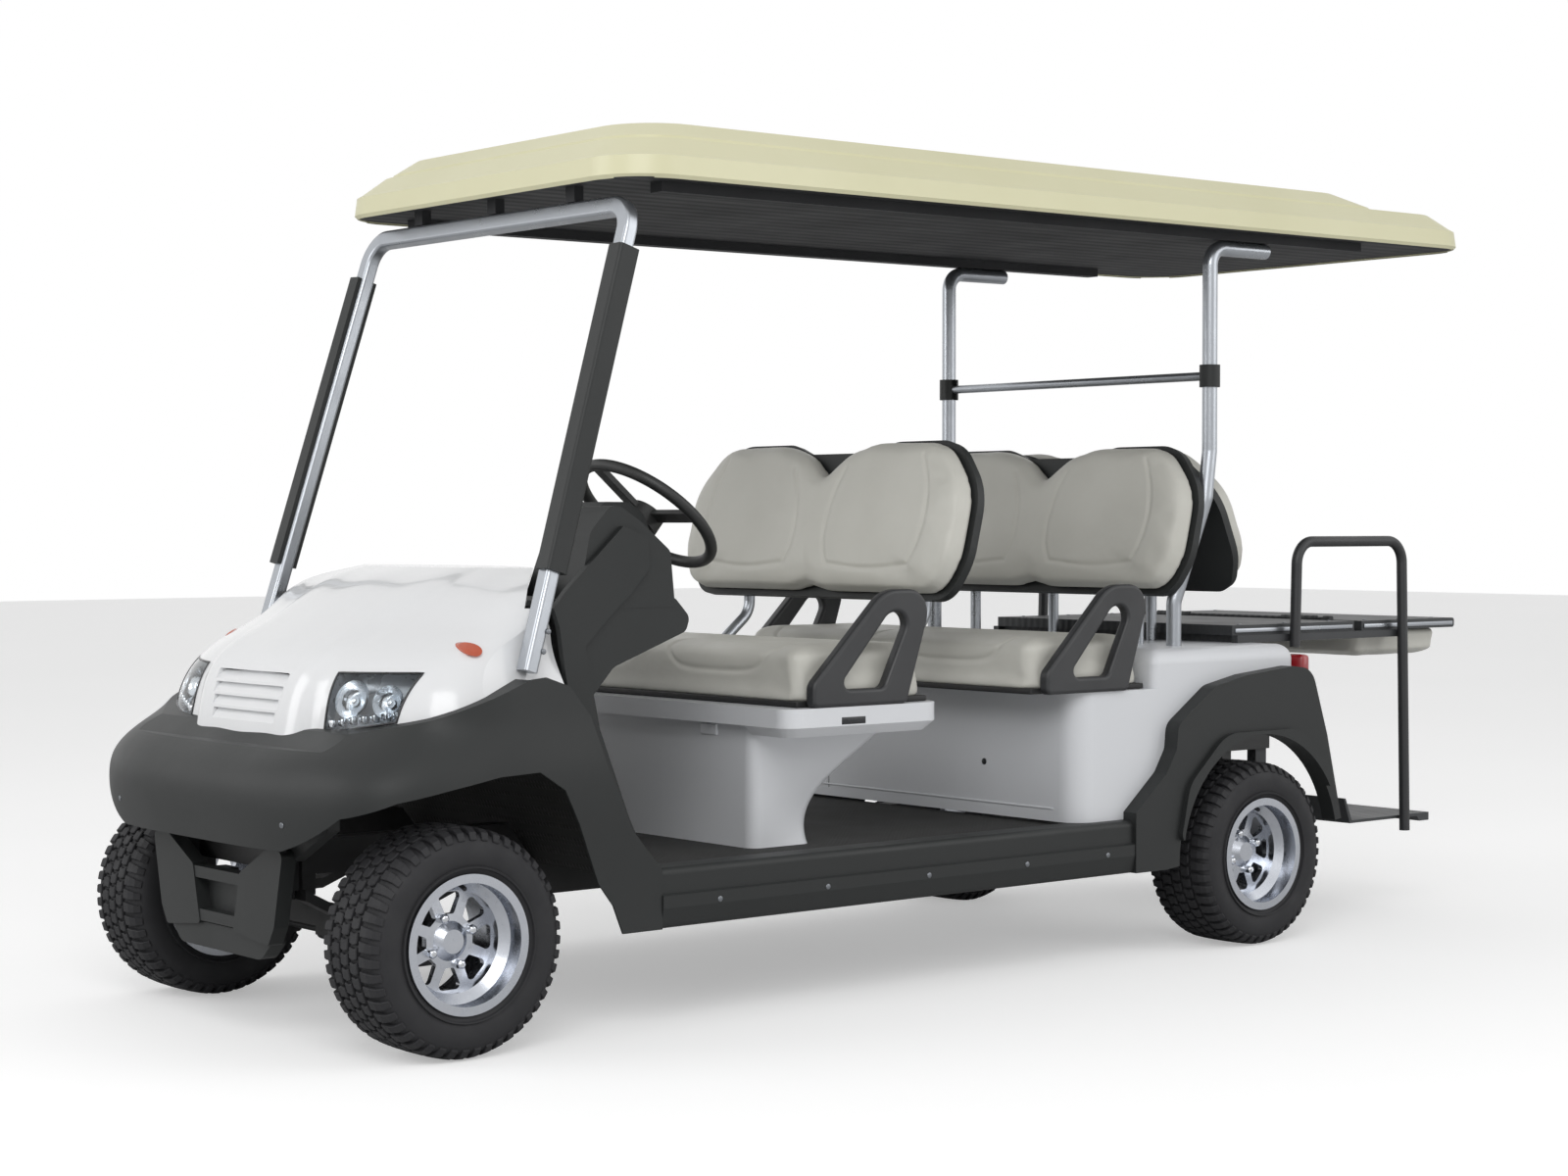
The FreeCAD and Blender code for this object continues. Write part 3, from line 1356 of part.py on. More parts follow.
def flip_board():
    """The board that swings over to make the rear seat, with its two hinge barrels."""
    low = deck_top - deck_thickness
    middle = deck_top + hinge_lift
    front = hinge_station - hinge_clearance
    body = profile_body("flip_plate", XZ, [
        (flip_rear, low, 8), (front, low), (front, deck_top), (flip_rear, deck_top, 8)],
        deck_half_width * 2, symmetric=True)
    barrels = []
    for side in (-1, 1):
        barrels.append(cylinder(f"flip_barrel_{side + 1}", "Y", hinge_radius + barrel_wall, 120,
                                hinge_station, side * 230 - 60, middle))
        barrels.append(box(f"flip_web_{side + 1}", (front - 4, hinge_station),
                           (side * 230 - 60, side * 230 + 60), (deck_top - 9, deck_top)))
    hole = cylinder("flip_hole", "Y", hinge_radius + running_gap, 700, hinge_station, -350, middle)
    return put(cut("flip", fuse("flip_solid", [body] + barrels), hole), "flip_board")


def flip_cushion():
    """The rear seat's cushion, face down under the board while the deck is open."""
    top = deck_top - deck_thickness - seat_gap
    body = soft_block("flip_pad", (flip_rear + 26, hinge_station - 30), deck_half_width - 20,
                      (top - flip_cushion_thickness, top), size("flip_corner", 40))
    return put(body, "flip_cushion")


def side_hoops():
    """A hoop of dark tube each side of the deck, whose rear leg runs down to the step."""
    y = hoop_offset
    left = feature("hoop_left", tube([
        (hoop_front, y, deck_top - 60), (hoop_front - 8, y, hoop_top), (hoop_rear + 20, y, hoop_top),
        (hoop_rear, y, step_top - 40)], hoop_radius, 60))
    return put(pair("hoop_pair", left), "side_hoops")


def footrest():
    """The step across the back for the rear passengers' feet."""
    body = profile_body("step_plate", XZ, [
        (step_rear, step_top - 22), (step_rear + 40, step_top - 22), (step_rear + 52, step_top - 8),
        (step_front - 18, step_top - 8), (step_front + 8, step_top + 60), (step_front, step_top + 60),
        (step_front - 26, step_top), (step_rear, step_top)],
        2 * (hoop_offset - hoop_radius - seat_gap), symmetric=True)
    arms = []
    for side in (-1, 1):
        arms.append(profile_body(f"step_arm_{side + 1}", XZ, [
            (step_front - 90, step_top - 12), (step_front - 50, step_top - 12),
            (step_front + 105, arch_low - 60), (step_front + 105, arch_low - seat_gap),
            (step_front + 62, arch_low - seat_gap), (step_front + 62, arch_low - 70)],
            30, offset=-(side * rail_offset + 15)))
    return put(fuse("step", [body] + arms), "footrest")


# Running gear

def front_axle():
    """The front beam with a yoke and kingpin at each end, on two leaf springs."""
    z = tyre_radius
    pin = kingpin_offset
    yoke_reach = boss_radius + 6
    beam = box("front_beam", (-beam_depth / 2, beam_depth / 2), (-(pin - yoke_reach), pin - yoke_reach),
               (z - beam_height / 2, z + beam_height / 2))
    pieces = [beam]
    half = boss_height / 2
    for side in (-1, 1):
        inner = side * (pin - yoke_reach - 14)
        outer = side * (pin + boss_radius)
        low_y, high_y = (inner, outer) if side > 0 else (outer, inner)
        for name, bottom in (("top", z + half + 0.5), ("bottom", z - half - yoke_thickness - 0.5)):
            pieces.append(box(f"yoke_{name}_{side + 1}", (-boss_radius, boss_radius),
                              (low_y, high_y), (bottom, bottom + yoke_thickness)))
        web = side * (pin - yoke_reach - 7)
        pieces.append(box(f"yoke_web_{side + 1}", (-14, 14), (web - 7, web + 7),
                          (z - half - yoke_thickness, z + half + yoke_thickness)))
        pieces.append(cylinder(f"kingpin_{side + 1}", "Z", kingpin_radius,
                               boss_height + yoke_thickness, 0, side * pin,
                               z - half - yoke_thickness / 2))
        reach = front_spring_reach
        y = side * rail_offset
        seat = z + beam_height / 2
        spring = profile_body(f"front_spring_{side + 1}", XZ, [
            (-reach, seat + 70), (-reach / 2, seat + spring_thickness), (reach / 3, seat + spring_thickness),
            (reach - 90, seat + 62), (reach - 90, seat + 62 - spring_thickness), (reach / 3, seat),
            (-reach / 2, seat), (-reach, seat + 70 - spring_thickness)], spring_width,
            offset=-(y + spring_width / 2))
        pieces.append(spring)
        for x in (-reach, reach - 120):
            pieces.append(box(f"front_shackle_{side + 1}_{len(pieces)}", (x, x + 30), (y - 10, y + 10),
                              (seat + 50, front_rail_low - seat_gap)))
    rod_height = z - half + 6 - tie_rod_drop - tie_rod_radius
    guide = cylinder("tie_guide", "Y", guide_radius, guide_length, -arm_length, -guide_length / 2,
                     rod_height)
    bracket = box("guide_bracket", (-arm_length, -beam_depth / 2), (-40, 40),
                  (rod_height, z - beam_height / 2 + 10))
    bore = cylinder("guide_bore", "Y", tie_rod_radius + running_gap, guide_length + 20, -arm_length,
                    -guide_length / 2 - 10, rod_height)
    solid = fuse("front_axle_fused", pieces + [guide, bracket])
    return put(cut("front_axle_cut", solid, bore), "front_axle")


def tie_rod():
    """The rod that slides across the cart and joins the two steering arms."""
    reach = kingpin_offset - 6
    z = tyre_radius - boss_height / 2 + 6 - tie_rod_drop - tie_rod_radius
    bar = cylinder("tie_bar", "Y", tie_rod_radius, reach * 2, -arm_length, -reach, z)
    return put(together("tie_rod_bar", [bar]), "tie_rod")


def pedals():
    """The accelerator and the brake, each a pad on an arm from the toe board."""
    lean = math.degrees(math.atan2(float(toe_rake), float(toe_top - floor_height)))
    pads = []
    for name, y, wide in (("brake", 330, 90), ("accelerator", 190, 60)):
        plate = Part.makeBox(8, wide, 110, Vector(-8, y - wide / 2, 60))
        arm = Part.makeBox(46, 14, 14, Vector(-1, y - 7, 100))
        both = plate.fuse(arm)
        skin = float(floor_wall) * math.cos(math.radians(lean))
        both.translate(Vector(-45 - skin - float(seat_gap), 0, 0))
        both.rotate(Vector(0, 0, 0), Vector(0, 1, 0), lean)
        both.translate(Vector(float(floor_front), 0, float(floor_height)))
        pads.append(feature(f"pedal_{name}", both))
    return put(together("pedal_pair", pads), "pedals")


def knuckle(name, side):
    """A steering knuckle: boss on the kingpin, stub axle into the hub and steering arm."""
    half = boss_height / 2
    boss = cylinder(f"{name}_boss", "Z", boss_radius, boss_height, 0, 0, -half)
    hub_reach = front_track / 2 - kingpin_offset + spoke_plane - 3
    low = 0 if side > 0 else -hub_reach
    stub = cylinder(f"{name}_stub", "Y", stub_radius, hub_reach, 0, low, 0)
    flange_low = boss_radius - 4 if side > 0 else -(boss_radius + 8)
    flange = cylinder(f"{name}_flange", "Y", stub_radius + 14, 12, 0, flange_low, 0)
    arm_side = -12 if side > 0 else -8
    arm = box(f"{name}_arm", (-arm_length, 0), (arm_side, arm_side + 20),
              (-half + 6, -half + 6 + arm_thickness))
    ball = cylinder(f"{name}_ball", "Z", ball_radius, arm_thickness, -arm_length, arm_side + 10, -half + 6)
    solid = fuse(f"{name}_solid", [boss, stub, flange, arm, ball])
    hole = cylinder(f"{name}_hole", "Z", kingpin_radius + running_gap, boss_height + 20, 0, 0,
                    -half - 10)
    return put(cut(f"{name}_cut", solid, hole), name, 0, side * kingpin_offset, tyre_radius)


def tyre(name, station, offset, side):
    """A road tyre: a carcass with bulged sidewalls, hollow inside, seated on the rim."""
    half = tyre_width / 2
    wall = tyre_wall
    body = new_body(name)
    sketch = sketch_on(body, YZ)
    bead = bead_radius + seat_gap
    seat = rim_half_width - rim_wall - 3
    outline(sketch, [
        (-seat, bead), (-seat - 2, flange_radius - 2), (-half + 2, tyre_radius - 66, 30),
        (-half + 4, tyre_radius - 22, 14), (-half + 26, tyre_radius, 12),
        (half - 26, tyre_radius, 12), (half - 4, tyre_radius - 22, 14),
        (half - 2, tyre_radius - 66, 30), (seat + 2, flange_radius - 2), (seat, bead),
        (seat - wall, bead), (seat - wall, flange_radius), (half - wall, tyre_radius - 62),
        (half - wall - 12, tyre_radius - wall), (-half + wall + 12, tyre_radius - wall),
        (-half + wall, tyre_radius - 62), (-seat + wall, flange_radius), (-seat + wall, bead)])
    revolve(body, sketch)
    return put(body, name, station, offset, tyre_radius)


def round_pattern(body, feature, count):
    """Repeat a feature evenly round the body's own Y axis."""
    doc.recompute()
    ring = body.newObject("PartDesign::PolarPattern", f"{feature.Name}_round")
    ring.Originals = [feature]
    ring.Axis = (next(f for f in body.Origin.OriginFeatures if f.Role == "Y_Axis"), [""])
    ring.Angle = 360
    ring.Occurrences = count
    body.Tip = ring


def rim(name, station, offset, side):
    """An alloy rim: stepped barrel with flanges and a recessed face of eight spokes."""
    body = new_body(name)
    sketch = sketch_on(body, YZ)
    half = rim_half_width
    wall = rim_wall
    face = side * spoke_plane
    back = side * (spoke_plane - spoke_depth)
    cap = side * (spoke_plane + cap_height)
    bore = stub_radius + running_gap
    barrel = [
        (-half, flange_radius), (-half + wall, flange_radius), (-half + wall, bead_radius),
        (-half + 40, bead_radius), (-half + 52, barrel_radius), (half - 52, barrel_radius),
        (half - 40, bead_radius), (half - wall, bead_radius), (half - wall, flange_radius),
        (half, flange_radius), (half, bead_radius - wall), (half - 38, bead_radius - wall),
        (half - 54, barrel_radius - wall), (-half + 54, barrel_radius - wall),
        (-half + 38, bead_radius - wall), (-half, bead_radius - wall)]
    outline(sketch, barrel)
    revolve(body, sketch)
    disc = sketch_on(body, YZ)
    outline(disc, [
        (back, bore), (side * (spoke_plane - 2), bore), (side * (spoke_plane - 2), 0),
        (cap, 0), (cap, cap_radius), (face, hub_radius),
        (side * (spoke_plane - 3), barrel_radius - 2), (back, barrel_radius - 2)])
    revolve(body, disc)
    window = sketch_on(body, XZ)
    inner = hub_radius + 14
    outer = barrel_radius - wall - 5
    outline(window, [(-10, inner, 4), (10, inner, 4), (window_width / 2, outer, 10),
                     (-window_width / 2, outer, 10)])
    opening = pocket_through(body, window)
    round_pattern(body, opening, spoke_count)
    lug = sketch_on(body, XZ)
    middle = math.pi / spoke_count
    circle(lug, lug_circle_radius * math.sin(middle), lug_circle_radius * math.cos(middle),
           lug_hole_radius)
    round_pattern(body, pocket_through(body, lug), lug_count)
    return put(body, name, station, offset, tyre_radius)


def rear_axle_unit():
    """The rear axle: tube, differential and the plain block of the drive motor, on springs."""
    z = tyre_radius
    reach = rear_track / 2 - rim_half_width + 20
    stub = rear_track / 2 + spoke_plane - 3
    axle = rear_axle
    pieces = [
        cylinder("rear_tube", "Y", 30, reach * 2, axle, -reach, z),
        cylinder("rear_shaft", "Y", stub_radius, stub * 2, axle, -stub, z),
        cylinder("differential", "Y", 92, 130, axle, -65, z),
        cylinder("drive_motor", "X", 88, 260, axle + 60, 0, z),
    ]
    for side in (-1, 1):
        y = side * rail_offset
        reach = rear_spring_reach
        low = z + 30
        spring = profile_body(f"rear_spring_{side + 1}", XZ, [
            (axle - reach, low + 110), (axle - 140, low + spring_thickness),
            (axle + 140, low + spring_thickness), (axle + reach - 50, low + 90),
            (axle + reach - 50, low + 90 - spring_thickness), (axle + 140, low), (axle - 140, low),
            (axle - reach, low + 110 - spring_thickness)], spring_width,
            offset=-(y + spring_width / 2))
        pieces.append(spring)
        for x, foot in ((axle - reach, low + 92), (axle + reach - 90, low + 70)):
            pieces.append(box(f"rear_shackle_{side + 1}_{len(pieces)}", (x, x + 36), (y - 10, y + 10),
                              (foot, arch_low - seat_gap)))
    return put(fuse("rear_axle_fused", pieces), "rear_axle")


def wheel_centre():
    return Vector(float(wheel_station), float(wheel_side), float(wheel_height))


def column_solid(radius):
    """A cylinder on the steering axis, from the toe board's side up to the wheel's hub."""
    top = wheel_centre() - steer_axis * float(wheel_hub_depth + seat_gap)
    return Part.makeCylinder(radius, float(column_length), top, -steer_axis)


def steering_column():
    """The column, which comes out of the dash and carries the wheel."""
    return put(feature("column", column_solid(float(column_radius))), "steering_column")


def steering_wheel():
    """The steering wheel: ring, three spokes and hub, on the column's axis."""
    reach = float(wheel_ring_radius)
    ring = Part.makeTorus(reach, float(wheel_grip_radius))
    depth = float(wheel_hub_depth)
    shape = ring.fuse(Part.makeCylinder(42, depth + 6, Vector(0, 0, -depth)))
    for angle in (0, 90, 180):
        spoke = Part.makeBox(reach - 10, 30, 12, Vector(10, -15, -12))
        spoke.rotate(Vector(0, 0, 0), Vector(0, 0, 1), angle - 90)
        shape = shape.fuse(spoke)
    turn = Rotation(Vector(0, 0, 1), steer_axis)
    return put(feature("wheel_ring", shape), "steering_wheel", wheel_station, wheel_side,
               wheel_height, turn)


chassis_frame()
floor_pan()
sills()
front_body()
front_cladding()
brush_guard()
headlamps()
blinkers()
dashboard()
windscreen_frame()
post_sleeves()
roof()
roof_liner()
rear_roof_posts()
grab_rail()
seat_cushion("front_seat_cushion", front_seat_front)
seat_cushion("middle_seat_cushion", middle_seat_front)
backrest("front_backrest", front_back_station, back_bottom, back_half_width, back_lean, 1)
backrest("middle_backrest", middle_back_station, back_bottom, back_half_width, back_lean, 1)
backrest("rear_backrest", rear_back_station, rear_back_bottom, rear_back_half_width, rear_back_lean, -1)
backrest_shells()
armrests()
backrest_supports()
front_bench_base()
battery_block()
rear_body()
rear_fenders()
tail_lamps()
rear_deck()
flip_board()
flip_cushion()
side_hoops()
footrest()
front_axle()
tie_rod()
pedals()
rear_axle_unit()
steering_column()
steering_wheel()
for side, word in ((1, "left"), (-1, "right")):
    knuckle(f"knuckle_{word}", side)
    tyre(f"tyre_front_{word}", 0, side * front_track / 2, side)
    rim(f"rim_front_{word}", 0, side * front_track / 2, side)
    tyre(f"tyre_rear_{word}", rear_axle, side * rear_track / 2, side)
    rim(f"rim_rear_{word}", rear_axle, side * rear_track / 2, side)

doc.recompute()
for obj in doc.Objects:
    if "Invalid" in obj.State or "Error" in obj.State:
        raise RuntimeError(f"{obj.Label}: {obj.State}")
for sub_part in sub_parts:
    shape = sub_part.Shape
    if shape.isNull() or not shape.isValid() or not shape.Solids:
        raise RuntimeError(f"{sub_part.Label} has no valid solid")
for sub_part in sub_parts:
    sub_part.Shape.exportStep(f"parts/{sub_part.Label}.step")
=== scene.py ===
import math
import bpy
from mathutils import Matrix, Vector


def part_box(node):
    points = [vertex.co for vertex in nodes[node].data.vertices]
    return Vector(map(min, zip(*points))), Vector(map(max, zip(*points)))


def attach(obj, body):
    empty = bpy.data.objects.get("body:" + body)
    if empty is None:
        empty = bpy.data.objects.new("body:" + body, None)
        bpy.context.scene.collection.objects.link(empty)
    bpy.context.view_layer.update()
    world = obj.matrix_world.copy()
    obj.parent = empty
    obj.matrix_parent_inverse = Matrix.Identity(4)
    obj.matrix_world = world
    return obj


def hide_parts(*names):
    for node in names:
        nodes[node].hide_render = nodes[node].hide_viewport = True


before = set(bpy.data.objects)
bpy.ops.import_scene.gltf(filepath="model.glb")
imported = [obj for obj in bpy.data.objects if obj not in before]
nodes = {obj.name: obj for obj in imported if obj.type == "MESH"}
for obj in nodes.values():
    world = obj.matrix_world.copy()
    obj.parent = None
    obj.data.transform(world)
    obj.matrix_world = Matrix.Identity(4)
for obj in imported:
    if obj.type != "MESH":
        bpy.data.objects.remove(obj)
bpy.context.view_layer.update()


# View: eye level with the seats, off the cart's front left corner, with a long lens.
# The whole cart fits in the picture from this place.
bpy.ops.object.camera_add(
    location=(4.507, 5.104, 1.059),
    rotation=(math.radians(88.64), 0, math.radians(140.11)))
camera = bpy.context.object
camera.data.lens = 63.0
camera.data.sensor_width = 36.0
bpy.context.scene.camera = camera


# Ladder frame and running gear: welded steel box section, with its axles and leaf springs.
# Brushed over in black chassis enamel, so it is slightly uneven in tone and gloss.
def colour(code):
    """The linear colour of an sRGB hex value."""
    parts = [int(code[i:i + 2], 16) / 255 for i in (0, 2, 4)]
    return [p / 12.92 if p <= 0.04045 else ((p + 0.055) / 1.055) ** 2.4 for p in parts] + [1.0]


def add(tree, kind, links=None, **settings):
    """A node with its settings, its sockets linked or set."""
    made = tree.nodes.new(kind)
    for name, value in settings.items():
        setattr(made, name, value)
    for socket, value in (links or {}).items():
        if isinstance(value, bpy.types.NodeSocket):
            tree.links.new(value, made.inputs[socket])
        else:
            made.inputs[socket].default_value = value
    return made


def finish(name, main, other, patch, roughness, spread, grain, relief, **sockets):
    """A material whose colour drifts between two tones in patches, with a fine grained surface.

    patch and grain are real sizes in metres, relief is the height of the grain."""
    made = bpy.data.materials.new(name)
    made.use_nodes = True
    tree = made.node_tree
    shader = tree.nodes["Principled BSDF"]
    place = add(tree, "ShaderNodeTexCoord").outputs["Object"]
    drift = add(tree, "ShaderNodeTexNoise", {"Vector": place, "Scale": 1 / patch, "Detail": 5.0})
    tone = add(tree, "ShaderNodeMix", {0: drift.outputs[0], 6: colour(main), 7: colour(other)},
               data_type="RGBA")
    tree.links.new(tone.outputs[2], shader.inputs["Base Color"])
    gloss = add(tree, "ShaderNodeMapRange", {
        "Value": drift.outputs[0], "From Min": 0.3, "From Max": 0.7,
        "To Min": roughness - spread, "To Max": roughness + spread})
    tree.links.new(gloss.outputs[0], shader.inputs["Roughness"])
    fine = add(tree, "ShaderNodeTexNoise", {"Vector": place, "Scale": 1 / grain, "Detail": 3.0})
    bump = add(tree, "ShaderNodeBump", {"Height": fine.outputs[0], "Distance": relief,
                                        "Strength": 1.0})
    tree.links.new(bump.outputs[0], shader.inputs["Normal"])
    for socket, value in sockets.items():
        shader.inputs[socket.replace("_", " ")].default_value = value
    return made


def dress(material, *names):
    """Give carried-over CAD nodes a material."""
    for name in names:
        for old in nodes[name].material_slots:
            old.material = material
        if not nodes[name].material_slots:
            nodes[name].data.materials.append(material)


enamel = finish("chassis_enamel", "17181A", "232323", 0.22, 0.46, 0.12, 0.004, 0.0003)
dress(enamel, "chassis_frame", "front_axle", "rear_axle", "tie_rod", "knuckle_left",
      "knuckle_right")


# Road tyres: moulded black rubber, five rows of lugs round a bulged carcass.
# The shoulder lugs are long and run down on to the sidewall.
def clear():
    """Leave edit mode and select nothing."""
    if bpy.context.object and bpy.context.object.mode != "OBJECT":
        bpy.ops.object.mode_set(mode="OBJECT")
    bpy.ops.object.select_all(action="DESELECT")


def only(piece):
    """Select one object and make it the active one."""
    clear()
    piece.select_set(True)
    bpy.context.view_layer.objects.active = piece
    return piece


def edit(piece):
    """Open one object's mesh with all of it selected."""
    only(piece)
    bpy.ops.object.mode_set(mode="EDIT")
    bpy.ops.mesh.select_all(action="SELECT")


def settle(piece, name, material, angle=35.0):
    """Close a piece: apply its place, merge doubles, turn its faces out and smooth it."""
    edit(piece)
    bpy.ops.mesh.remove_doubles(threshold=0.00002)
    bpy.ops.mesh.normals_make_consistent(inside=False)
    bpy.ops.object.mode_set(mode="OBJECT")
    bpy.ops.object.transform_apply(location=True, rotation=True, scale=True)
    bpy.ops.object.shade_smooth_by_angle(angle=math.radians(angle))
    piece.name = name
    piece.data.materials.clear()
    piece.data.materials.append(material)
    return piece


def modify(piece, kind, **settings):
    """Add a modifier to a piece and apply it."""
    only(piece)
    made = piece.modifiers.new(kind.lower(), kind)
    for name, value in settings.items():
        setattr(made, name, value)
    bpy.ops.object.modifier_apply(modifier=made.name)
    return piece


def ring_of(points):
    """A closed outline in the YZ plane, from a circle whose corners are moved into place."""
    clear()
    bpy.ops.mesh.primitive_circle_add(vertices=len(points), radius=1)
    made = bpy.context.object
    for vertex, (y, z) in zip(made.data.vertices, points):
        vertex.co = (0, y, z)
    return made


def spun(points, steps, material, name):
    """A closed outline turned once round the Y axis."""
    made = ring_of(points)
    edit(made)
    bpy.ops.mesh.spin(steps=steps, angle=2 * math.pi, center=(0, 0, 0), axis=(0, 1, 0))
    return settle(made, name, material)


def joined(pieces):
    """Some pieces made one object, the first of them."""
    clear()
    for piece in pieces:
        piece.select_set(True)
    bpy.context.view_layer.objects.active = pieces[0]
    bpy.ops.object.join()
    return pieces[0]


def repeated(piece, count, axis):
    """The piece and its copies, evenly round an axis through the origin, joined."""
    copies = [piece]
    for i in range(1, count):
        other = piece.copy()
        other.data = piece.data.copy()
        other.data.transform(Matrix.Rotation(2 * math.pi * i / count, 4, axis))
        bpy.context.collection.objects.link(other)
        copies.append(other)
    return joined(copies)


rubber = finish("tyre_rubber", "17171A", "212124", 0.05, 0.72, 0.08, 0.0015, 0.00025)
round_steps = 96
lug_length, lug_depth, lug_kink = 0.0225, 0.0105, 0.0035
lug_rows = ((0.0, 0.026, 0.5, 0.2296), (0.0325, 0.027, 0.0, 0.2291), (-0.0325, 0.027, 0.0, 0.2291))
pitch_count = 48
carcass = spun([
    (-0.086, 0.1273), (-0.0875, 0.1385), (-0.093, 0.146), (-0.0985, 0.160), (-0.1013, 0.176),
    (-0.1005, 0.190), (-0.098, 0.200), (-0.093, 0.209), (-0.086, 0.2155), (-0.070, 0.2195),
    (-0.045, 0.2215), (-0.015, 0.2225), (0.015, 0.2225), (0.045, 0.2215), (0.070, 0.2195),
    (0.086, 0.2155), (0.093, 0.209), (0.098, 0.200), (0.1005, 0.190), (0.1013, 0.176),
    (0.0985, 0.160), (0.093, 0.146), (0.0875, 0.1385), (0.086, 0.1273), (0.074, 0.1273),
    (0.076, 0.142), (0.087, 0.165), (0.080, 0.206), (-0.080, 0.206), (-0.087, 0.165),
    (-0.076, 0.142), (-0.074, 0.1273)], round_steps, rubber, "carcass")
lugs = []
for y, width, lag, top in lug_rows:
    clear()
    bpy.ops.mesh.primitive_cube_add(size=1, location=(0, 0, 0))
    lug = bpy.context.object
    lug.scale = (lug_length, width, lug_depth)
    bpy.ops.object.transform_apply(scale=True)
    edit(lug)
    bpy.ops.mesh.subdivide(number_cuts=1)
    bpy.ops.object.mode_set(mode="OBJECT")
    for vertex in lug.data.vertices:
        if abs(vertex.co.y) < 0.001:
            vertex.co.x += lug_kink if y >= 0 else -lug_kink
    modify(lug, "BEVEL", width=0.0018, segments=1, limit_method="ANGLE",
           angle_limit=math.radians(60))
    lug.data.transform(Matrix.Rotation(2 * math.pi * lag / pitch_count, 4, "Y")
                       @ Matrix.Translation((0, y, top - lug_depth / 2)))
    lugs.append(lug)
outer_line = ((0.0535, 0.2287), (0.0745, 0.2275), (0.0895, 0.2215), (0.0985, 0.2075))
inner_line = ((0.0535, 0.2195), (0.0740, 0.2180), (0.0850, 0.2135), (0.0935, 0.2030))
shoulder_length, shoulder_taper, shoulder_lean = 0.0215, 0.0022, 0.0016
for side in (-1, 1):
    clear()
    bpy.ops.mesh.primitive_cube_add(size=1, location=(0, 0, 0))
    lug = bpy.context.object
    edit(lug)
    bpy.ops.mesh.subdivide(number_cuts=2)
    bpy.ops.object.mode_set(mode="OBJECT")
    for vertex in lug.data.vertices:
        step = round((vertex.co.y + 0.5) * 3)
        share = vertex.co.z + 0.5
        y = inner_line[step][0] + (outer_line[step][0] - inner_line[step][0]) * share
        z = inner_line[step][1] + (outer_line[step][1] - inner_line[step][1]) * share
        x = vertex.co.x * (shoulder_length - shoulder_taper * step) + shoulder_lean * step
        vertex.co = (x, side * y, z)
    modify(lug, "BEVEL", width=0.0014, segments=1, limit_method="ANGLE",
           angle_limit=math.radians(50))
    lug.data.transform(Matrix.Rotation(2 * math.pi * 0.5 / pitch_count, 4, "Y"))
    lugs.append(lug)
tread = repeated(joined(lugs), pitch_count, "Y")
edit(tread)
bpy.ops.mesh.normals_make_consistent(inside=False)
bpy.ops.object.mode_set(mode="OBJECT")
tread.data.materials.clear()
tread.data.materials.append(rubber)
bead_line = spun([(-0.1016, 0.1515), (-0.0970, 0.1500), (-0.0970, 0.1560), (-0.1021, 0.1545)],
                 round_steps, rubber, "bead_line")
other_line = bead_line.copy()
other_line.data = bead_line.data.copy()
other_line.data.transform(Matrix.Scale(-1, 4, (0, 1, 0)))
bpy.context.collection.objects.link(other_line)
edit(other_line)
bpy.ops.mesh.normals_make_consistent(inside=False)
clear()
tyre = joined([carcass, tread, bead_line, other_line])
squeeze = 0.978
tyre.data.transform(Matrix.Scale(squeeze, 4, (0, 1, 0)))
wheels = {}
for place in ("front_left", "front_right", "rear_left", "rear_right"):
    low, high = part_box(f"tyre_{place}")
    wheels[place] = (low + high) / 2
for place, centre in wheels.items():
    made = tyre.copy()
    made.data = tyre.data.copy()
    made.data.transform(Matrix.Translation(centre))
    bpy.context.collection.objects.link(made)
    made.name = f"treaded_tyre_{place}"
    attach(made, f"{place}_wheel")
    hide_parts(f"tyre_{place}")
bpy.data.objects.remove(tyre)


# Alloy wheels: cast aluminium with a machined face that has a faint grain.
# Four chromed nuts and a stub valve finish each face.
alloy = finish("machined_alloy", "C9CCD2", "B4B8C0", 0.02, 0.24, 0.05, 0.0012, 0.00006,
               Metallic=1.0)
dress(alloy, "rim_front_left", "rim_front_right", "rim_rear_left", "rim_rear_right")
chrome = finish("bright_chrome", "DADCE0", "C8CBD0", 0.03, 0.09, 0.03, 0.002, 0.00002,
                Metallic=1.0)
nut_out, nut_circle = 0.027, 0.0508
valve_out, valve_circle = 0.066, 0.113
clear()
bpy.ops.mesh.primitive_cylinder_add(vertices=6, radius=0.0105, depth=0.018,
                                    rotation=(math.pi / 2, 0, 0))
nut = bpy.context.object
bpy.ops.object.transform_apply(rotation=True)
edit(nut)
bpy.ops.mesh.select_all(action="DESELECT")
bpy.ops.mesh.select_mode(type="FACE")
bpy.ops.object.mode_set(mode="OBJECT")
for face in nut.data.polygons:
    face.select = face.normal.y > 0.9
bpy.ops.object.mode_set(mode="EDIT")
bpy.ops.mesh.extrude_region_move(TRANSFORM_OT_translate={"value": (0, 0.004, 0)})
bpy.ops.transform.resize(value=(0.55, 1, 0.55))
bpy.ops.object.mode_set(mode="OBJECT")
modify(nut, "BEVEL", width=0.0012, segments=2, limit_method="ANGLE")
nut.data.transform(Matrix.Rotation(math.pi / 8, 4, "Y")
                   @ Matrix.Translation((0, nut_out, nut_circle)))
nuts = repeated(nut, 4, "Y")
clear()
bpy.ops.mesh.primitive_cylinder_add(vertices=14, radius=0.0048, depth=0.026,
                                    location=(0, valve_out, valve_circle),
                                    rotation=(math.pi / 2.6, 0, 0))
valve = modify(bpy.context.object, "BEVEL", width=0.0012, segments=2)
only(valve)
bpy.ops.object.transform_apply(location=True, rotation=True)
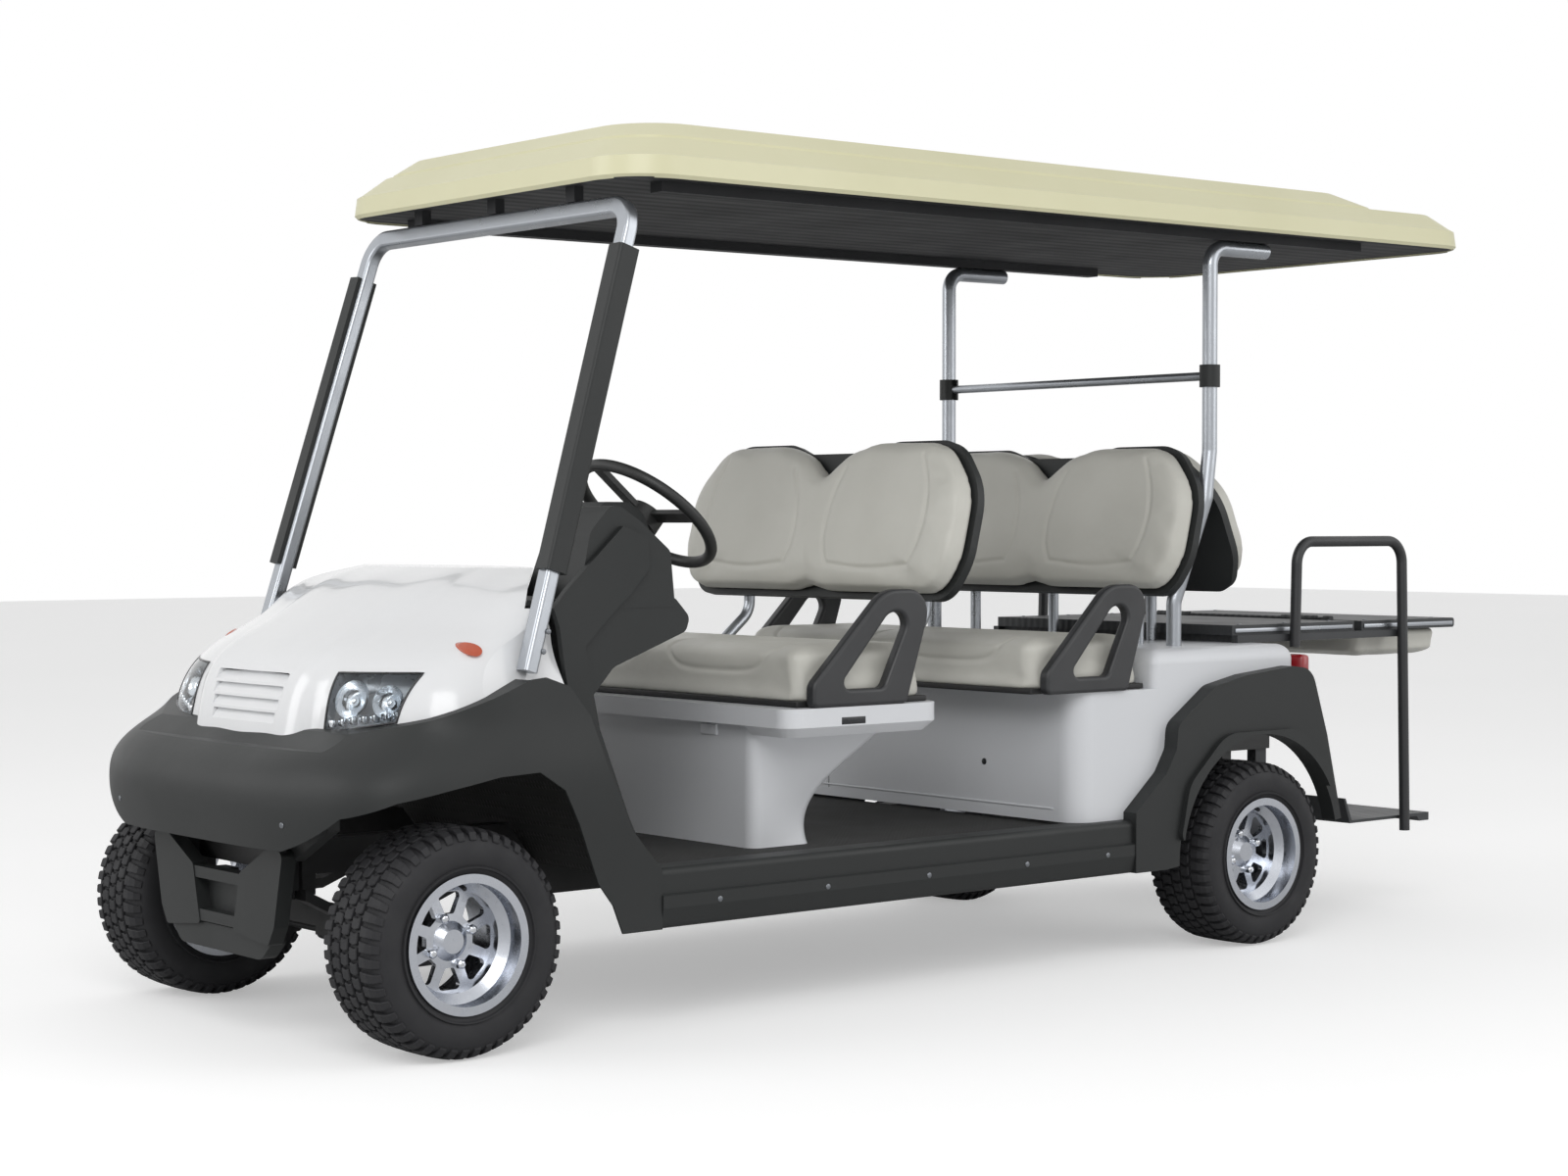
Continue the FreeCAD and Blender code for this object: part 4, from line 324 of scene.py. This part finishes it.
for place, centre in wheels.items():
    for part, name, material in ((nuts, "wheel_nuts", chrome), (valve, "tyre_valve", rubber)):
        made = part.copy()
        made.data = part.data.copy()
        if centre.y < 0:
            made.data.transform(Matrix.Rotation(math.pi, 4, "Z"))
        made.data.transform(Matrix.Translation(centre))
        bpy.context.collection.objects.link(made)
        settle(made, f"{name}_{place}", material, 40)
        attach(made, f"{place}_wheel")
bpy.data.objects.remove(nuts)
bpy.data.objects.remove(valve)


# Floor: a pressed steel pan under a black rubber mat, moulded with a small raised stud pattern.
# The sills beside it are blow-moulded, held by screws along their outer faces.
def wear(piece, name, body, slot, *replaced):
    """Name a finished piece, tie it to its body and hide the CAD nodes it stands for."""
    piece.name = name
    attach(piece, body)
    for node in replaced:
        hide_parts(node)
    return piece


def screws(name, places, way, radius, material, body, slot):
    """Domed screw heads at some places, looking one way, as one piece."""
    clear()
    bpy.ops.mesh.primitive_cylinder_add(vertices=16, radius=radius, depth=0.6 * radius)
    head = modify(bpy.context.object, "BEVEL", width=0.25 * radius, segments=3,
                  limit_method="ANGLE")
    turn = Vector(way).to_track_quat("Z", "Y").to_matrix().to_4x4()
    heads = []
    for place in places:
        other = head.copy()
        other.data = head.data.copy()
        other.data.transform(Matrix.Translation(place) @ turn)
        bpy.context.collection.objects.link(other)
        heads.append(other)
    bpy.data.objects.remove(head)
    return wear(settle(joined(heads), name, material, 40), name, body, slot)


axle = wheels["front_left"].x
zinc = finish("zinc_screw", "85888C", "6E7176", 0.01, 0.34, 0.06, 0.001, 0.00004, Metallic=1.0)
stud_pitch = 0.012
mat_rubber = finish("studded_mat", "202121", "2B2B29", 0.15, 0.8, 0.06, 0.001, 0.0001)
tree = mat_rubber.node_tree
place = add(tree, "ShaderNodeTexCoord").outputs["Object"]
studs = add(tree, "ShaderNodeTexVoronoi", {"Vector": place, "Scale": 1 / stud_pitch,
                                           "Randomness": 0.0})
shape = add(tree, "ShaderNodeMapRange", {"Value": studs.outputs["Distance"], "From Min": 0.2,
                                         "From Max": 0.45, "To Min": 1.0, "To Max": 0.0})
stud_bump = add(tree, "ShaderNodeBump", {"Height": shape.outputs[0], "Distance": 0.0014})
tree.links.new(stud_bump.outputs[0], tree.nodes["Principled BSDF"].inputs["Normal"])
dress(mat_rubber, "floor_pan")
charcoal = finish("textured_polypropylene", "222424", "282A2A", 0.3, 0.5, 0.07, 0.0016, 0.00018,
                  Specular_IOR_Level=0.35)
dress(charcoal, "sills")
sill_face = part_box("sills")[1].y - 0.0005
sill_screw_height = 0.268
for word, side in (("right", -1), ("left", 1)):
    screws(f"sill_screws_{word}",
           [(axle - back, side * sill_face, sill_screw_height)
            for back in (0.62, 0.92, 1.22, 1.53, 1.8)],
           (0, side, 0), 0.0065, zinc, "chassis", "black_plastic")


# White nose and hood: gloss acrylic panel, vacuum formed, so it is very slightly wavy.
# A clear hard gloss lies on it, and the blinkers are let into its sides.
gloss_white = finish("gloss_white_panel", "ECEDEE", "E6E7E9", 0.6, 0.2, 0.05, 0.004, 0.00004,
                     Coat_Weight=0.4, Coat_Roughness=0.06)
dress(gloss_white, "front_body")
amber = finish("amber_acrylic", "C9501E", "A83C10", 0.02, 0.18, 0.05, 0.003, 0.0005,
               Coat_Weight=0.6)
dress(amber, "blinkers")


# Headlamps: a clear lens over a metallised housing, with two plated bowls and a row of small
# reflector cells. The lens is the front skin of the CAD lamp and the housing is its other sides.
# A black seal runs round the lens where it meets the nose.
def copy_of(node):
    """A new object from a CAD node's mesh, merged by distance."""
    made = bpy.data.objects.new(f"{node}_copy", nodes[node].data.copy())
    bpy.context.collection.objects.link(made)
    edit(made)
    bpy.ops.mesh.remove_doubles(threshold=0.00002)
    bpy.ops.object.mode_set(mode="OBJECT")
    return made


lamp_wall = finish("metallised_lamp_wall", "B9BDC2", "A7ACB2", 0.03, 0.3, 0.06, 0.002, 0.0001,
                   Metallic=0.5)
lens_clear = finish("clear_polycarbonate", "F2F6F8", "ECF1F4", 0.1, 0.03, 0.01, 0.006, 0.00005,
                    Transmission_Weight=1.0, IOR=1.3)
housing = finish("black_lamp_housing", "15161A", "1E2024", 0.04, 0.3, 0.08, 0.002, 0.0001)
plated = finish("plated_reflector", "E4E7EA", "CDD2D8", 0.015, 0.1, 0.05, 0.004, 0.0003,
                Metallic=1.0)
lens_facing = 0.45
seal = copy_of("headlamps")
edit(seal)
bpy.ops.mesh.select_all(action="DESELECT")
bpy.ops.mesh.select_mode(type="FACE")
bpy.ops.object.mode_set(mode="OBJECT")
for face in seal.data.polygons:
    face.select = face.normal.x > lens_facing
bpy.ops.object.mode_set(mode="EDIT")
bpy.ops.mesh.select_all(action="INVERT")
bpy.ops.mesh.delete(type="FACE")
bpy.ops.mesh.select_all(action="SELECT")
bpy.ops.mesh.region_to_loop()
bpy.ops.mesh.select_all(action="INVERT")
bpy.ops.mesh.delete(type="EDGE_FACE")
bpy.ops.object.mode_set(mode="OBJECT")
only(seal)
bpy.ops.object.convert(target="CURVE")
seal = bpy.context.object
seal.data.bevel_depth = 0.0026
seal.data.bevel_resolution = 2
bpy.ops.object.convert(target="MESH")
wear(settle(bpy.context.object, "seal", housing, 50), "headlamp_seals", "chassis", "black_plastic")
lamps = copy_of("headlamps")
lamps.data.materials.clear()
for material in (lens_clear, lamp_wall):
    lamps.data.materials.append(material)
for face in lamps.data.polygons:
    face.material_index = int(face.normal.x <= lens_facing)
only(lamps)
bpy.ops.object.shade_smooth_by_angle(angle=math.radians(30))
wear(lamps, "headlamp_units", "chassis", "lamp_glass", "headlamps")
lamp_aim = Vector((0.84, 0.42, 0.34)).normalized()
bowl_depth, bowl_height, bowl_radius = 0.034, 0.703, 0.040
cell_size = 0.017
for word, side in (("right", -1), ("left", 1)):
    bowls = []
    for x, y, radius in ((0.104, 0.326, bowl_radius), (0.078, 0.413, 0.034)):
        bowl = spun([(0.0, 0.008), (0.006, 0.022), (0.016, 0.032), (0.030, 0.040), (0.032, 0.0395),
                     (0.017, 0.0305), (0.008, 0.021), (0.002, 0.007)], 40, plated, "bowl")
        bowl.data.transform(Matrix.Scale(radius / bowl_radius, 4))
        clear()
        bpy.ops.mesh.primitive_uv_sphere_add(segments=20, ring_count=10, radius=0.010,
                                             location=(0, 0.010, 0))
        bulb = bpy.context.object
        bpy.ops.object.transform_apply(location=True)
        unit = joined([bowl, bulb])
        centre = Vector((axle + x, y, bowl_height)) - lamp_aim * bowl_depth
        unit.data.transform(Matrix.Translation(centre)
                            @ lamp_aim.to_track_quat("Y", "Z").to_matrix().to_4x4())
        bowls.append(unit)
    for i in range(7):
        clear()
        bpy.ops.mesh.primitive_cube_add(size=cell_size, location=(
            axle + 0.132 - 0.0118 * i, 0.297 + 0.0225 * i, 0.655 + 0.003 * i))
        cell = modify(bpy.context.object, "BEVEL", width=0.003, segments=2)
        bpy.ops.object.transform_apply(location=True)
        bowls.append(cell)
    unit = joined(bowls)
    if side < 0:
        unit.data.transform(Matrix.Scale(-1, 4, (0, 1, 0)))
    settle(unit, "lamp", plated, 40)
    wear(unit, f"lamp_bowls_{word}", "chassis", "lamp_glass")


# Front cladding, guard, post sleeves and dashboard: the same charcoal moulding as the sills.
# A screw each side holds the cladding at the chin.
dress(charcoal, "front_cladding", "brush_guard", "post_sleeves", "dashboard")
screw_radius = 0.006
for word, side in (("right", -1), ("left", 1)):
    chin = (axle + 0.34, side * 0.36, 0.46)
    spot, way = nodes["front_cladding"].closest_point_on_mesh(chin)[1:3]
    screws(f"cladding_screw_{word}", [spot], way, screw_radius, zinc, "chassis", "black_plastic")


# Steering wheel and column: black foam and plastic with a soft grain.
# The pedals, armrests and side hoops have a dark powder coat.
grip = finish("foamed_grip", "1B1C1C", "262726", 0.08, 0.5, 0.08, 0.0012, 0.00025)
dress(grip, "steering_wheel", "steering_column")
powder = finish("dark_powder_coat", "2E2F31", "262729", 0.12, 0.45, 0.06, 0.0012, 0.00022)
dress(powder, "pedals", "armrests", "side_hoops")


# Windscreen frame and roof posts: extruded aluminium, satin anodised, drawn lengthwise.
# The fine streaks run up the posts.
anodised = finish("satin_anodised", "B2B6BB", "A2A6AC", 0.1, 0.3, 0.05, 0.0012, 0.00005,
                  Metallic=0.85)
tree = anodised.node_tree
place = add(tree, "ShaderNodeTexCoord").outputs["Object"]
drawn = add(tree, "ShaderNodeMapping", {"Vector": place, "Scale": (900, 900, 9)})
streaks = add(tree, "ShaderNodeTexNoise", {"Vector": drawn.outputs[0], "Scale": 1.0,
                                           "Detail": 2.0})
streak_bump = add(tree, "ShaderNodeBump", {"Height": streaks.outputs[0], "Distance": 0.00003})
tree.links.new(streak_bump.outputs[0], tree.nodes["Principled BSDF"].inputs["Normal"])
dress(anodised, "windscreen_frame", "rear_roof_posts", "backrest_supports")
for word, side in (("right", -1), ("left", 1)):
    screws(f"post_screws_{word}",
           [(axle - 0.196, side * 0.5625, 0.80), (axle - 0.208, side * 0.5622, 0.84)],
           (0, side, 0), screw_radius, zinc, "chassis", "steel_tube")


# Grab rail between the rear posts: an anodised tube held in two black nylon clamps.
# The clamps are wider than the tube, so they are told apart by their place.
rail = copy_of("grab_rail")
rail.data.materials.clear()
for material in (anodised, charcoal):
    rail.data.materials.append(material)
clamp_width = 0.056
clamp_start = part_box("grab_rail")[1].y - clamp_width
for face in rail.data.polygons:
    face.material_index = int(abs(face.center.y) > clamp_start)
only(rail)
bpy.ops.object.shade_smooth_by_angle(angle=math.radians(30))
wear(rail, "grab_rail_tube", "chassis", "steel_tube", "grab_rail")


# Canopy: one thermoformed cream shell with stepped edges, over a dark ribbed headlining.
# The shell is satin, with a faint orange peel.
cream = finish("cream_canopy", "DEDBB8", "D6D3AE", 0.4, 0.42, 0.05, 0.004, 0.00004)
dress(cream, "roof")
lining = finish("dark_headlining", "26272A", "1D1E20", 0.2, 0.7, 0.06, 0.003, 0.0003)
tree = lining.node_tree
place = add(tree, "ShaderNodeTexCoord").outputs["Object"]
ribs = add(tree, "ShaderNodeTexWave", {"Vector": place, "Scale": 5.2}, bands_direction="Y")
rib_bump = add(tree, "ShaderNodeBump", {"Height": ribs.outputs[0], "Distance": 0.002})
tree.links.new(rib_bump.outputs[0], tree.nodes["Principled BSDF"].inputs["Normal"])
dress(lining, "roof_liner")


# Bench bases: the same white panel, a little duller. The front one has a latch by each side of
# its storage hatch. Each end of its flange has a thin black sheet of painted shade, standing in
# for the dark inside of a lift slot that is not cut. The rear one has two locks, two
# joint lines and a low step across its face.
def slab(name, low, high, bevel, material, body, slot):
    """A bevelled block between two corners, given in any order."""
    clear()
    low, high = (Vector([pick(pair) for pair in zip(low, high)]) for pick in (min, max))
    bpy.ops.mesh.primitive_cube_add(size=1, location=(low + high) / 2, scale=high - low)
    bpy.ops.object.transform_apply(location=True, rotation=True, scale=True)
    made = modify(bpy.context.object, "BEVEL", width=bevel, segments=3, limit_method="ANGLE")
    return wear(settle(made, name, material, 40), name, body, slot)


satin_white = finish("satin_white_panel", "E0E2E5", "D9DBDF", 0.5, 0.34, 0.06, 0.0025, 0.00012)
dress(satin_white, "front_bench_base", "rear_body")
pod_face = axle - 0.8592
latch_sunk, latch_proud = 0.004, 0.006
latch_inner, latch_outer = 0.234, 0.291
latch_low, latch_high = 0.583, 0.609
for name, side in (("hatch_latch", 1), ("hatch_latch_far", -1)):
    slab(name, (pod_face - latch_sunk, side * latch_inner, latch_low),
         (pod_face + latch_proud, side * latch_outer, latch_high), 0.003, satin_white, "chassis",
         "body_white")
# Painted shade: a thin black sheet on each side of the flange stands for the shaded opening of a
# lift slot.
slot_shade_rear, slot_shade_front = axle - 1.055, axle - 0.985
slot_shade_inner, slot_shade_outer = 0.5690, 0.5703
slot_shade_low, slot_shade_high = 0.616, 0.632
for word, side in (("right", -1), ("left", 1)):
    slab(f"lift_slot_shade_{word}", (slot_shade_rear, side * slot_shade_inner, slot_shade_low),
         (slot_shade_front, side * slot_shade_outer, slot_shade_high), 0.0004, housing, "chassis", "body_white")
bench_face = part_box("rear_body")[1].x
lock_place, lock_height, lock_radius = 0.244, 0.472, 0.008
screws("bench_lock", [(bench_face, side * lock_place, lock_height) for side in (1, -1)],
       (1, 0, 0), lock_radius, housing, "chassis", "black_plastic")
sunk, joint_proud, step_proud = 0.003, 0.0006, 0.0025
joint_width, joint_low, joint_high = 0.0018, 0.365, 0.635
for i, y in enumerate((0.34, 0.385)):
    slab(f"bench_seam_{i}", (bench_face - sunk, -y - joint_width, joint_low),
         (bench_face + joint_proud, -y, joint_high), 0.0003, housing, "chassis", "body_white")
step_end, step_low, step_high = 0.48, 0.372, 0.376
slab("bench_step", (bench_face - sunk, -step_end, step_low),
     (bench_face + step_proud, step_end, step_high), 0.001, satin_white, "chassis", "body_white")


# Seat cushions: light warm grey vinyl over foam, blown up by a cloth simulation.
# Each half has a contour seam that runs over its front edge, and a dark board lies under each
# cushion. The vinyl's grain is a web of fine creases.
import numpy as np

crease_pitch = 0.0022
vinyl = finish("grained_vinyl", "CFCEC6", "C5C4BC", 0.15, 0.46, 0.06, 0.0016, 0.0002)
tree = vinyl.node_tree
place = add(tree, "ShaderNodeTexCoord").outputs["Object"]
grain = add(tree, "ShaderNodeTexVoronoi", {"Vector": place, "Scale": 1 / crease_pitch},
            feature="DISTANCE_TO_EDGE")
folds = add(tree, "ShaderNodeTexNoise", {"Vector": place, "Scale": 9.0, "Detail": 3.0})
mixed = add(tree, "ShaderNodeMath", {0: folds.outputs[0], 1: 18.0, 2: grain.outputs[0]},
            operation="MULTIPLY_ADD")
vinyl_bump = add(tree, "ShaderNodeBump", {"Height": mixed.outputs[0], "Distance": 0.0003})
tree.links.new(vinyl_bump.outputs[0], tree.nodes["Principled BSDF"].inputs["Normal"])
cloth_grid, cloth_pressure, cloth_steps = 0.009, 4.0, 20


def puffed(node, turn, inset, cap, held_axis, held_depth):
    """A pad as blown-up cloth, in the frame that turn places.

    It starts inset on all sides, moves no further than cap, and is held on its low side."""
    piece = copy_of(node)
    piece.data.transform(turn.inverted())
    points = np.array([v.co for v in piece.data.vertices])
    low, high = points.min(0), points.max(0)
    middle = Vector((low + high) / 2)
    shrink = [(b - a - 2 * inset) / (b - a) for a, b in zip(low, high)]
    piece.data.transform(Matrix.Translation(middle) @ Matrix.Diagonal((*shrink, 1))
                         @ Matrix.Translation(-middle))
    modify(piece, "REMESH", mode="VOXEL", voxel_size=cloth_grid)
    start = [v.co.copy() for v in piece.data.vertices]
    edge = low[held_axis] + inset + held_depth
    held = piece.vertex_groups.new(name="held")
    held.add([i for i, co in enumerate(start) if co[held_axis] < edge], 1.0, "REPLACE")
    only(piece)
    cloth = piece.modifiers.new("cloth", "CLOTH")
    cloth.settings.vertex_group_mass = "held"
    cloth.settings.use_pressure = True
    cloth.settings.uniform_pressure_force = cloth_pressure
    cloth.settings.effector_weights.gravity = 0.0
    for step in range(1, cloth_steps + 1):
        bpy.context.scene.frame_set(step)
    bpy.ops.object.modifier_apply(modifier=cloth.name)
    bpy.context.scene.frame_set(1)
    for vertex, co in zip(piece.data.vertices, start):
        moved = vertex.co - co
        vertex.co = co + moved * min(1.0, cap / max(moved.length, 1e-6))
    piece.vertex_groups.clear()
    modify(piece, "SMOOTH", factor=0.5, iterations=6)
    modify(piece, "SUBSURF", levels=1)
    return piece


def pressed(piece, lines, origin, spread, toward, depth, width):
    """Press seams into the side that looks toward, along lines drawn flat on that side.

    spread turns a place seen from origin into the two numbers that the lines are drawn in."""
    mesh = piece.data
    count = len(mesh.vertices)
    points = np.empty(count * 3)
    mesh.vertices.foreach_get("co", points)
    points = points.reshape(-1, 3)
    normals = np.empty(count * 3)
    mesh.vertex_normals.foreach_get("vector", normals)
    normals = normals.reshape(-1, 3)
    nearest = np.full(count, 1.0)
    flat = (points - np.array(origin)) @ np.array(spread)
    for line in lines:
        for a, b in zip(line, line[1:]):
            a, b = np.array(a), np.array(b)
            along = np.clip(((flat - a) @ (b - a)) / ((b - a) @ (b - a)), 0, 1)
            away = np.linalg.norm(flat - a - along[:, None] * (b - a), axis=1)
            nearest = np.minimum(nearest, away)
    sink = depth * np.exp(-(nearest / width) ** 2) * (normals @ np.array(toward) > 0.2)
    points -= normals * sink[:, None]
    mesh.vertices.foreach_set("co", points.ravel())
    mesh.update()


def curved(points, steps=6):
    """A smooth line through points, by Catmull-Rom pieces."""
    points = [np.array(p) for p in points]
    ends = [2 * points[0] - points[1]] + points + [2 * points[-1] - points[-2]]
    line = []
    for a, b, c, d in zip(ends, ends[1:], ends[2:], ends[3:]):
        for i in range(steps):
            t = i / steps
            line.append(0.5 * (2 * b + (c - a) * t + (2 * a - 5 * b + 4 * c - d) * t * t
                               + (3 * b - a - 3 * c + d) * t ** 3))
    return line + [points[-1]]


seam_depth, seam_width = 0.0045, 0.0055
seat_puff = {"inset": 0.005, "cap": 0.009, "held_axis": 2, "held_depth": 0.012}
board_rise, board_inset, board_low, board_high = 0.010, 0.004, 0.0003, 0.0135
board = finish("black_seat_board", "1C1C1D", "252526", 0.1, 0.6, 0.06, 0.002, 0.0001)
for node in ("front_seat_cushion", "middle_seat_cushion"):
    low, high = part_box(node)
    seat = puffed(node, Matrix.Identity(4), **seat_puff)
    rise = low.z + board_rise - min(v.co.z for v in seat.data.vertices)
    seat.data.transform(Matrix.Translation((0, 0, rise)))
    seam = curved([(0.110, 0.045), (0.050, 0.050), (0.002, 0.064), (-0.026, 0.092),
                   (-0.037, 0.140), (-0.039, 0.235), (-0.037, 0.330), (-0.026, 0.385),
                   (0.002, 0.415), (0.050, 0.430), (0.110, 0.435)])
    other_seam = [np.array((back, -y)) for back, y in seam]
    pressed(seat, (seam, other_seam), (high.x, 0, high.z), ((-1, 0), (0, 1), (1, 0)),
            (0.707, 0, 0.707), seam_depth, seam_width)
    settle(seat, node, vinyl, 80)
    wear(seat, f"{node}_vinyl", "chassis", "seat_vinyl", node)
    slab(f"{node}_board", (low.x + board_inset, low.y + board_inset, low.z + board_low),
         (high.x - board_inset, high.y - board_inset, low.z + board_high), 0.003, board,
         "chassis", "black_plastic")


# Backrests: the same vinyl pads with two lobes and stitched arcs, in black plastic shells.
# They lean back on silver struts; the third one faces the deck.
back_puff = {"inset": 0.004, "cap": 0.007, "held_axis": 0, "held_depth": 0.010}
back_height, back_gap = 0.375, 0.0005
rear_back_share = 0.89


def back_frame(node, lean, facing):
    """The matrix that places a backrest's own frame: its back plane and its bottom edge."""
    low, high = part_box(node)
    reach = back_height * math.sin(math.radians(lean))
    x = low.x + reach if facing > 0 else high.x - reach
    turn = Matrix.Rotation(math.radians(-lean if facing > 0 else lean), 4, "Y")
    if facing < 0:
        turn = turn @ Matrix.Rotation(math.pi, 4, "Z")
    return Matrix.Translation((x, 0, low.z)) @ turn


for node, lean, facing in (("front_backrest", 14, 1), ("middle_backrest", 14, 1),
                           ("rear_backrest", 24, -1)):
    turn = back_frame(node, lean, facing)
    back = puffed(node, turn, **back_puff)
    low_x = min(v.co.x for v in back.data.vertices)
    back.data.transform(Matrix.Translation((-low_x + back_gap, 0, 0)))
    trim = 1.0 if facing > 0 else rear_back_share
    inner = curved([(0.096, 0.302), (0.070, 0.240), (0.058, 0.170), (0.061, 0.110),
                    (0.082, 0.064)])
    outer = curved([(y * trim, z) for y, z in ((0.365, 0.330), (0.395, 0.260), (0.405, 0.190),
                                               (0.395, 0.120), (0.370, 0.064))])
    lower = curved([(0.082, 0.064), (0.225 * trim, 0.053), (0.370 * trim, 0.064)])
    lines = [inner, outer, lower]
    lines += [[np.array((-p[0], p[1])) for p in line] for line in lines]
    pressed(back, lines, (0, 0, 0), ((0, 0), (1, 0), (0, 1)), (1, 0, 0), seam_depth, seam_width)
    back.data.transform(turn)
    settle(back, node, vinyl, 80)
    wear(back, f"{node}_vinyl", "chassis", "seat_vinyl", node)
dress(charcoal, "backrest_shells")


# Rear seat: its pad hangs face down under the board while the deck is open.
# The board, the deck and the step are dark moulded boards with fine ribs.
pad_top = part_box("flip_cushion")[1].z
hanging = Matrix.Translation((0, 0, pad_top)) @ Matrix.Rotation(math.pi, 4, "X")
pad = puffed("flip_cushion", hanging, **seat_puff)
pad.data.transform(hanging)
rise = pad_top - max(v.co.z for v in pad.data.vertices)
pad.data.transform(Matrix.Translation((0, 0, rise)))
settle(pad, "flip_cushion", vinyl, 80)
wear(pad, "flip_cushion_vinyl", "flip_seat", "seat_vinyl", "flip_cushion")
deck_board = finish("ribbed_deck_board", "393B3D", "303234", 0.2, 0.52, 0.06, 0.002, 0.0001)
tree = deck_board.node_tree
place = add(tree, "ShaderNodeTexCoord").outputs["Object"]
ribs = add(tree, "ShaderNodeTexWave", {"Vector": place, "Scale": 13.0}, bands_direction="Y")
rib_bump = add(tree, "ShaderNodeBump", {"Height": ribs.outputs[0], "Distance": 0.0012})
tree.links.new(rib_bump.outputs[0], tree.nodes["Principled BSDF"].inputs["Normal"])
dress(deck_board, "rear_deck", "flip_board", "footrest")
trim_inner, trim_outer = 0.4295, 0.4335
trim_low, trim_high = 0.7755, 0.7865
bolt_line, bolt_height = 0.395, 0.7955
deck_rear, deck_front, board_front = axle - 2.925, axle - 2.45, axle - 2.975
for node, body in (("rear_deck", "chassis"), ("flip_board", "flip_seat")):
    rear, front = deck_rear, deck_front
    if node == "flip_board":
        rear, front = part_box(node)[0].x + 0.01, board_front
    for word, side in (("right", -1), ("left", 1)):
        slab(f"{node}_trim_{word}", (rear, side * trim_inner, trim_low),
             (front, side * trim_outer, trim_high), 0.0015, anodised, body, "steel_tube")
        screws(f"{node}_bolts_{word}",
               [(rear + (front - rear) * share, side * bolt_line, bolt_height)
                for share in (0.12, 0.5, 0.88)],
               (0, 0, 1), screw_radius, zinc, body, "steel_tube")


# Rear quarters: charcoal fenders, red tail lamps and the battery case under the bench.
# Each lamp has an outer red acrylic lens that wraps the corner of the body.
dress(charcoal, "rear_fenders")
red = finish("red_acrylic", "B01420", "860C15", 0.02, 0.16, 0.05, 0.003, 0.0005, Coat_Weight=0.6)
dress(red, "tail_lamps")
lens_rear, lens_front = -1.040, -1.0065
lens_inner, lens_outer = 0.512, 0.574
lens_low, lens_high = 0.632, 0.722
for word, side in (("right", -1), ("left", 1)):
    slab(f"tail_lens_{word}", (lens_rear, side * lens_inner, lens_low),
         (lens_front, side * lens_outer, lens_high), 0.011, red, "chassis", "red_lens")
dress(finish("battery_case", "1B1C20", "26272B", 0.1, 0.5, 0.06, 0.003, 0.0002), "battery_block")


# Studio: a pale floor, a white world behind it and three broad soft lamps.
# The floor glows a little to the camera alone, so that it stays pale.
floor_glow, world_light = 0.38, 0.40
clear()
bpy.ops.mesh.primitive_plane_add(size=60, location=(0, 0, 0))
floor = bpy.context.object
floor.name = "studio_floor"
paper = finish("studio_paper", "ECECEC", "E8E8E8", 2.0, 0.8, 0.02, 0.01, 0.0001,
               Emission_Color=(1, 1, 1, 1))
tree = paper.node_tree
path = add(tree, "ShaderNodeLightPath")
glow = add(tree, "ShaderNodeMapRange", {"Value": path.outputs["Is Camera Ray"], "To Min": 0.0,
                                        "To Max": floor_glow})
tree.links.new(glow.outputs[0], tree.nodes["Principled BSDF"].inputs["Emission Strength"])
floor.data.materials.append(paper)
for name, power, size, spot, aim in (
        ("key", 300, 5.0, (5.5, 6.0, 5.5), (0, 0, 0.8)),
        ("fill", 160, 6.0, (-5.0, 7.0, 4.0), (0, 0, 0.8)),
        ("front", 130, 4.0, (7.5, -3.0, 3.5), (1.0, 0, 0.8))):
    clear()
    bpy.ops.object.light_add(type="AREA", location=spot)
    lamp = bpy.context.object
    lamp.name = f"{name}_lamp"
    lamp.data.energy = power
    lamp.data.size = size
    lamp.rotation_euler = (Vector(aim) - Vector(spot)).to_track_quat("-Z", "Y").to_euler()
world = bpy.data.worlds.new("studio")
bpy.context.scene.world = world
world.use_nodes = True
tree = world.node_tree
back = tree.nodes["Background"]
back.inputs["Color"].default_value = (1, 1, 1, 1)
path = add(tree, "ShaderNodeLightPath")
most = add(tree, "ShaderNodeMath", {0: path.outputs["Is Camera Ray"],
                                    1: path.outputs["Is Glossy Ray"]}, operation="MAXIMUM")
more = add(tree, "ShaderNodeMath", {0: most.outputs[0], 1: path.outputs["Is Transmission Ray"]},
           operation="MAXIMUM")
level = add(tree, "ShaderNodeMapRange", {"Value": more.outputs[0], "To Min": world_light,
                                         "To Max": 1.0})
tree.links.new(level.outputs[0], back.inputs["Strength"])
bpy.context.scene.view_settings.view_transform = "Standard"

bpy.context.view_layer.update()
